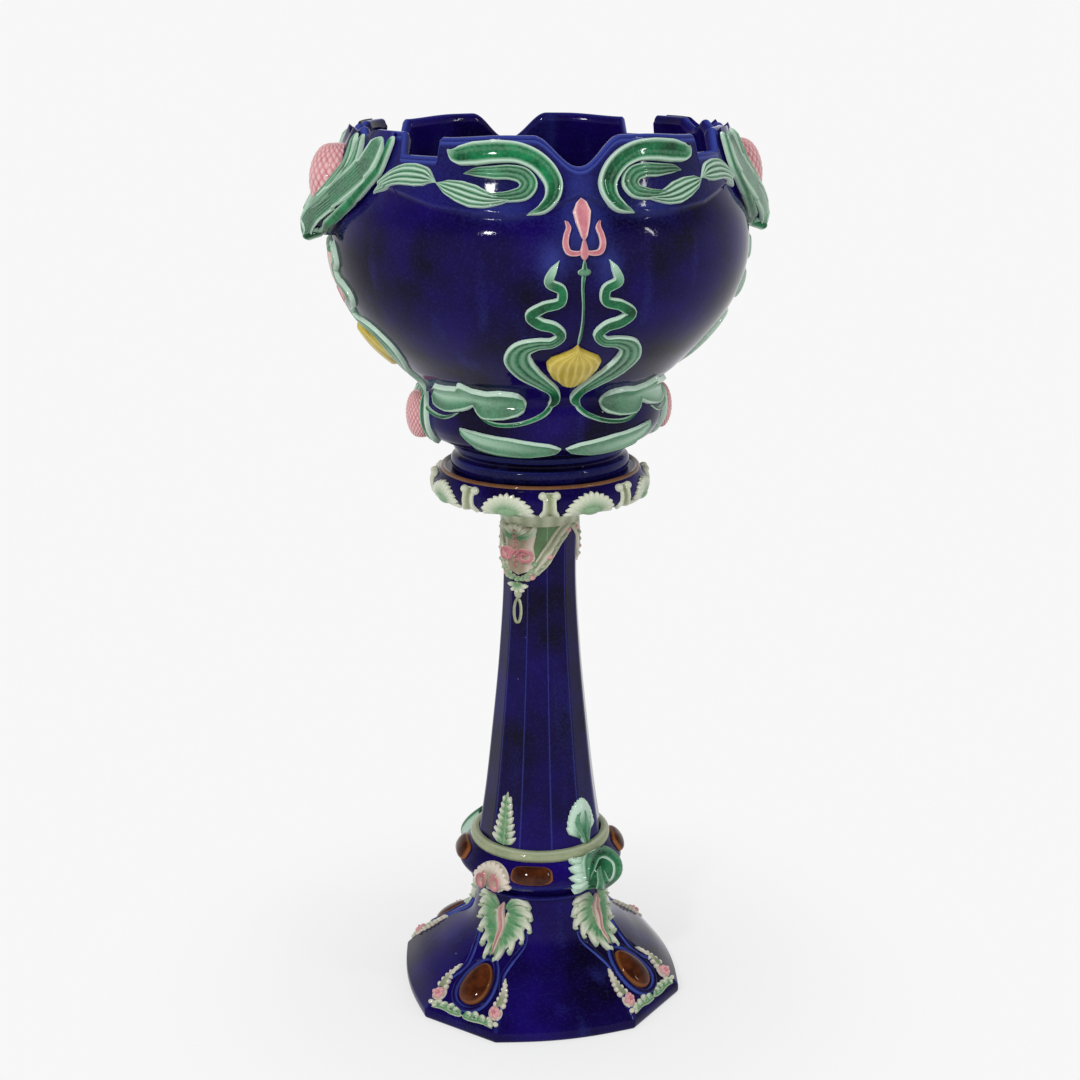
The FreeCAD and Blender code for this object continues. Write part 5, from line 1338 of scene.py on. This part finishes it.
def floor_material(brightness):
    """A pale floor that keeps the shadow and meets the backdrop's brightness away from the object."""
    material = bpy.data.materials.new("pale studio floor")
    material.use_nodes = True
    n = Nodes(material.node_tree)
    shader = material.node_tree.nodes["Principled BSDF"]
    grain = n.noise(3.0, 2.0)
    n.link(n.mix(grain, (0.86, 0.86, 0.86, 1.0), (0.88, 0.88, 0.88, 1.0)), shader.inputs["Base Color"])
    shader.inputs["Roughness"].default_value = 0.8
    shader.inputs["Specular IOR Level"].default_value = 0.1
    where = n.add("ShaderNodeTexCoord").outputs["Object"]
    length = n.add("ShaderNodeVectorMath", operation="LENGTH")
    n.link(where, length.inputs[0])
    far = n.add("ShaderNodeMapRange", interpolation_type="SMOOTHSTEP")
    n.link(length.outputs["Value"], far.inputs["Value"])
    far.inputs["From Min"].default_value = 0.06
    far.inputs["From Max"].default_value = 0.50
    far.inputs["To Min"].default_value = 0.68
    path = n.add("ShaderNodeLightPath")
    seen = n.maths("MAXIMUM", path.outputs["Is Camera Ray"],
                   n.maths("MAXIMUM", path.outputs["Is Glossy Ray"], path.outputs["Is Transmission Ray"]))
    glow = n.add("ShaderNodeEmission")
    glow.inputs["Color"].default_value = (brightness, brightness, brightness, 1.0)
    mixer = n.add("ShaderNodeMixShader")
    n.link(n.maths("MULTIPLY", far.outputs["Result"], seen), mixer.inputs[0])
    n.link(shader.outputs[0], mixer.inputs[1])
    n.link(glow.outputs[0], mixer.inputs[2])
    n.link(mixer.outputs[0], material.node_tree.nodes["Material Output"].inputs["Surface"])
    return material


def backdrop_world(studio):
    """White all round for camera, reflections and glass, dimmer overhead, and an even soft light."""
    world = bpy.data.worlds.new("studio")
    world.use_nodes = True
    bpy.context.scene.world = world
    n = Nodes(world.node_tree)
    shade = world.node_tree.nodes["Background"]
    path = n.add("ShaderNodeLightPath")
    seen = n.maths("MAXIMUM", path.outputs["Is Camera Ray"], path.outputs["Is Transmission Ray"])
    way = n.add("ShaderNodeSeparateXYZ")
    n.link(n.add("ShaderNodeTexCoord").outputs["Generated"], way.inputs[0])
    high = n.add("ShaderNodeMapRange", interpolation_type="SMOOTHSTEP")
    n.link(way.outputs["Z"], high.inputs["Value"])
    high.inputs["From Min"].default_value = 0.05
    high.inputs["From Max"].default_value = 0.75
    high.inputs["To Min"].default_value = studio.backdrop
    high.inputs["To Max"].default_value = 0.12
    gloss = n.maths("MULTIPLY", path.outputs["Is Glossy Ray"], high.outputs["Result"])
    rest = n.maths("SUBTRACT", 1.0, n.maths("MAXIMUM", seen, path.outputs["Is Glossy Ray"]))
    level = n.maths("ADD", n.maths("MULTIPLY", seen, studio.backdrop), gloss)
    level = n.maths("ADD", level, n.maths("MULTIPLY", rest, studio.room))
    n.link(level, shade.inputs["Strength"])
    shade.inputs["Color"].default_value = (1.0, 1.0, 1.0, 1.0)


def soft_light(name, power, size, place, aim):
    lamp = bpy.data.lights.new(name, "AREA")
    lamp.shape = "RECTANGLE"
    lamp.size, lamp.size_y = size
    lamp.energy = power
    made = bpy.data.objects.new(name, lamp)
    bpy.context.scene.collection.objects.link(made)
    made.location = place
    point_at(made, aim)
    return made


def point_at(thing, aim):
    away = Vector(thing.location) - Vector(aim)
    thing.rotation_mode = "QUATERNION"
    thing.rotation_quaternion = away.to_track_quat("Z", "Y")


def camera():
    """The photograph's own view: a long lens, a little above the rim and turned to the left."""
    data = bpy.data.cameras.new("photograph")
    data.sensor_width = 36.0
    data.lens = LENS
    made = bpy.data.objects.new("photograph", data)
    bpy.context.scene.collection.objects.link(made)
    turn = math.radians(CAMERA_TURN)
    made.location = (CAMERA_AWAY * math.sin(turn), -CAMERA_AWAY * math.cos(turn), CAMERA_Z)
    point_at(made, (0.0, 0.0, CAMERA_AIM_Z))
    data.clip_start, data.clip_end = 0.05, 60.0
    bpy.context.scene.camera = made


def studio():
    settings = bpy.context.scene.jardiniere_studio
    bpy.context.scene.view_settings.view_transform = "Standard"
    around = np.linspace(0.0, 2.0 * np.pi, FLOOR_SPOKES, endpoint=False)
    radius = np.linspace(0.0, 1.0, FLOOR_RINGS)[:, None] ** 1.5 * FLOOR_RADIUS + 0.001
    rows = np.stack([radius * np.cos(around), radius * np.sin(around), -0.0004 + 0.0 * radius * around], -1)
    mesh = bpy.data.meshes.new("studio_floor")
    spokes = FLOOR_SPOKES
    faces = [(i * spokes + j, i * spokes + (j + 1) % spokes, (i + 1) * spokes + (j + 1) % spokes,
              (i + 1) * spokes + j) for i in range(FLOOR_RINGS - 1) for j in range(spokes)]
    mesh.from_pydata(rows.reshape(-1, 3).tolist(), [], faces)
    mesh.materials.append(floor_material(settings.backdrop))
    floor = bpy.data.objects.new("studio_floor", mesh)
    bpy.context.scene.collection.objects.link(floor)
    backdrop_world(settings)
    soft_light("key_window", settings.key, (0.22, 0.30), (-1.6, -1.9, 2.3), (0.0, 0.0, 0.6))
    soft_light("fill_window", settings.fill, (0.08, 0.7), (1.9, -1.5, 1.9), (0.0, 0.0, 0.5))
    camera()


# ---- the add-on ----------------------------------------------------------------------------------
class JARDINIERE_OT_planter(bpy.types.Operator):
    """Build the planter's lobed wall and its foot ring"""

    bl_idname = "jardiniere.planter"
    bl_label = "Planter walls"

    def execute(self, context):
        planter_walls()
        foot_ring()
        return {"FINISHED"}


class JARDINIERE_OT_rim_relief(bpy.types.Operator):
    """Stick the scrolled leaves and the pleated garlands under the rim"""

    bl_idname = "jardiniere.rim_relief"
    bl_label = "Rim relief"

    def execute(self, context):
        rim_relief()
        return {"FINISHED"}


class JARDINIERE_OT_plants(bpy.types.Operator):
    """Stick the tendrils, pods, stems and flowers on the belly"""

    bl_idname = "jardiniere.plants"
    bl_label = "Plants on the belly"

    def execute(self, context):
        plants()
        return {"FINISHED"}


class JARDINIERE_OT_leaves(bpy.types.Operator):
    """Stick the broad leaves on the waist and the base"""

    bl_idname = "jardiniere.leaves"
    bl_label = "Waist and base leaves"

    def execute(self, context):
        waist_and_base()
        return {"FINISHED"}


class JARDINIERE_OT_handles(bpy.types.Operator):
    """Build the pointed handles, their leaves and the scaled fruit"""

    bl_idname = "jardiniere.handles"
    bl_label = "Handles and fruit"

    def execute(self, context):
        handles()
        return {"FINISHED"}


class JARDINIERE_OT_stand(bpy.types.Operator):
    """Build the stand's foot, band, shaft, capital and mouldings"""

    bl_idname = "jardiniere.stand"
    bl_label = "Stand walls"

    def execute(self, context):
        stand_walls()
        mouldings()
        return {"FINISHED"}


class JARDINIERE_OT_stand_relief(bpy.types.Operator):
    """Stick the relief on the stand, from the capital down to the foot"""

    bl_idname = "jardiniere.stand_relief"
    bl_label = "Stand relief"

    def execute(self, context):
        capital_relief()
        shaft_relief()
        band_relief()
        foot_relief()
        return {"FINISHED"}


class JARDINIERE_OT_studio(bpy.types.Operator):
    """Set up the floor, the backdrop, the soft lights and the camera"""

    bl_idname = "jardiniere.studio"
    bl_label = "Studio"

    def execute(self, context):
        studio()
        return {"FINISHED"}


OPERATORS = (JARDINIERE_OT_planter, JARDINIERE_OT_rim_relief, JARDINIERE_OT_plants, JARDINIERE_OT_leaves,
             JARDINIERE_OT_handles, JARDINIERE_OT_stand, JARDINIERE_OT_stand_relief, JARDINIERE_OT_studio)


class JARDINIERE_PT_panel(bpy.types.Panel):
    """Lists the building steps, the sizes, the glaze colours and the light levels"""

    bl_idname = "JARDINIERE_PT_panel"
    bl_label = "Jardiniere on stand"
    bl_space_type = "VIEW_3D"
    bl_region_type = "UI"
    bl_category = "Pottery"

    def draw(self, context):
        for operator in OPERATORS:
            self.layout.operator(operator.bl_idname)
        for settings in (sizes(), colours(), context.scene.jardiniere_studio):
            column = self.layout.column()
            for key in settings.__annotations__:
                column.prop(settings, key)


CLASSES = (JARDINIERE_PG_sizes, JARDINIERE_PG_colours, JARDINIERE_PG_studio, *OPERATORS,
           JARDINIERE_PT_panel)


def register():
    for cls in CLASSES:
        bpy.utils.register_class(cls)
    bpy.types.Scene.jardiniere_sizes = PointerProperty(type=JARDINIERE_PG_sizes)
    bpy.types.Scene.jardiniere_colours = PointerProperty(type=JARDINIERE_PG_colours)
    bpy.types.Scene.jardiniere_studio = PointerProperty(type=JARDINIERE_PG_studio)


def unregister():
    del bpy.types.Scene.jardiniere_studio
    del bpy.types.Scene.jardiniere_colours
    del bpy.types.Scene.jardiniere_sizes
    for cls in reversed(CLASSES):
        bpy.utils.unregister_class(cls)


def main():
    register()
    for step in (bpy.ops.jardiniere.planter, bpy.ops.jardiniere.rim_relief, bpy.ops.jardiniere.plants,
                 bpy.ops.jardiniere.leaves, bpy.ops.jardiniere.handles, bpy.ops.jardiniere.stand,
                 bpy.ops.jardiniere.stand_relief, bpy.ops.jardiniere.studio):
        step()


if __name__ == "__main__":
    main()
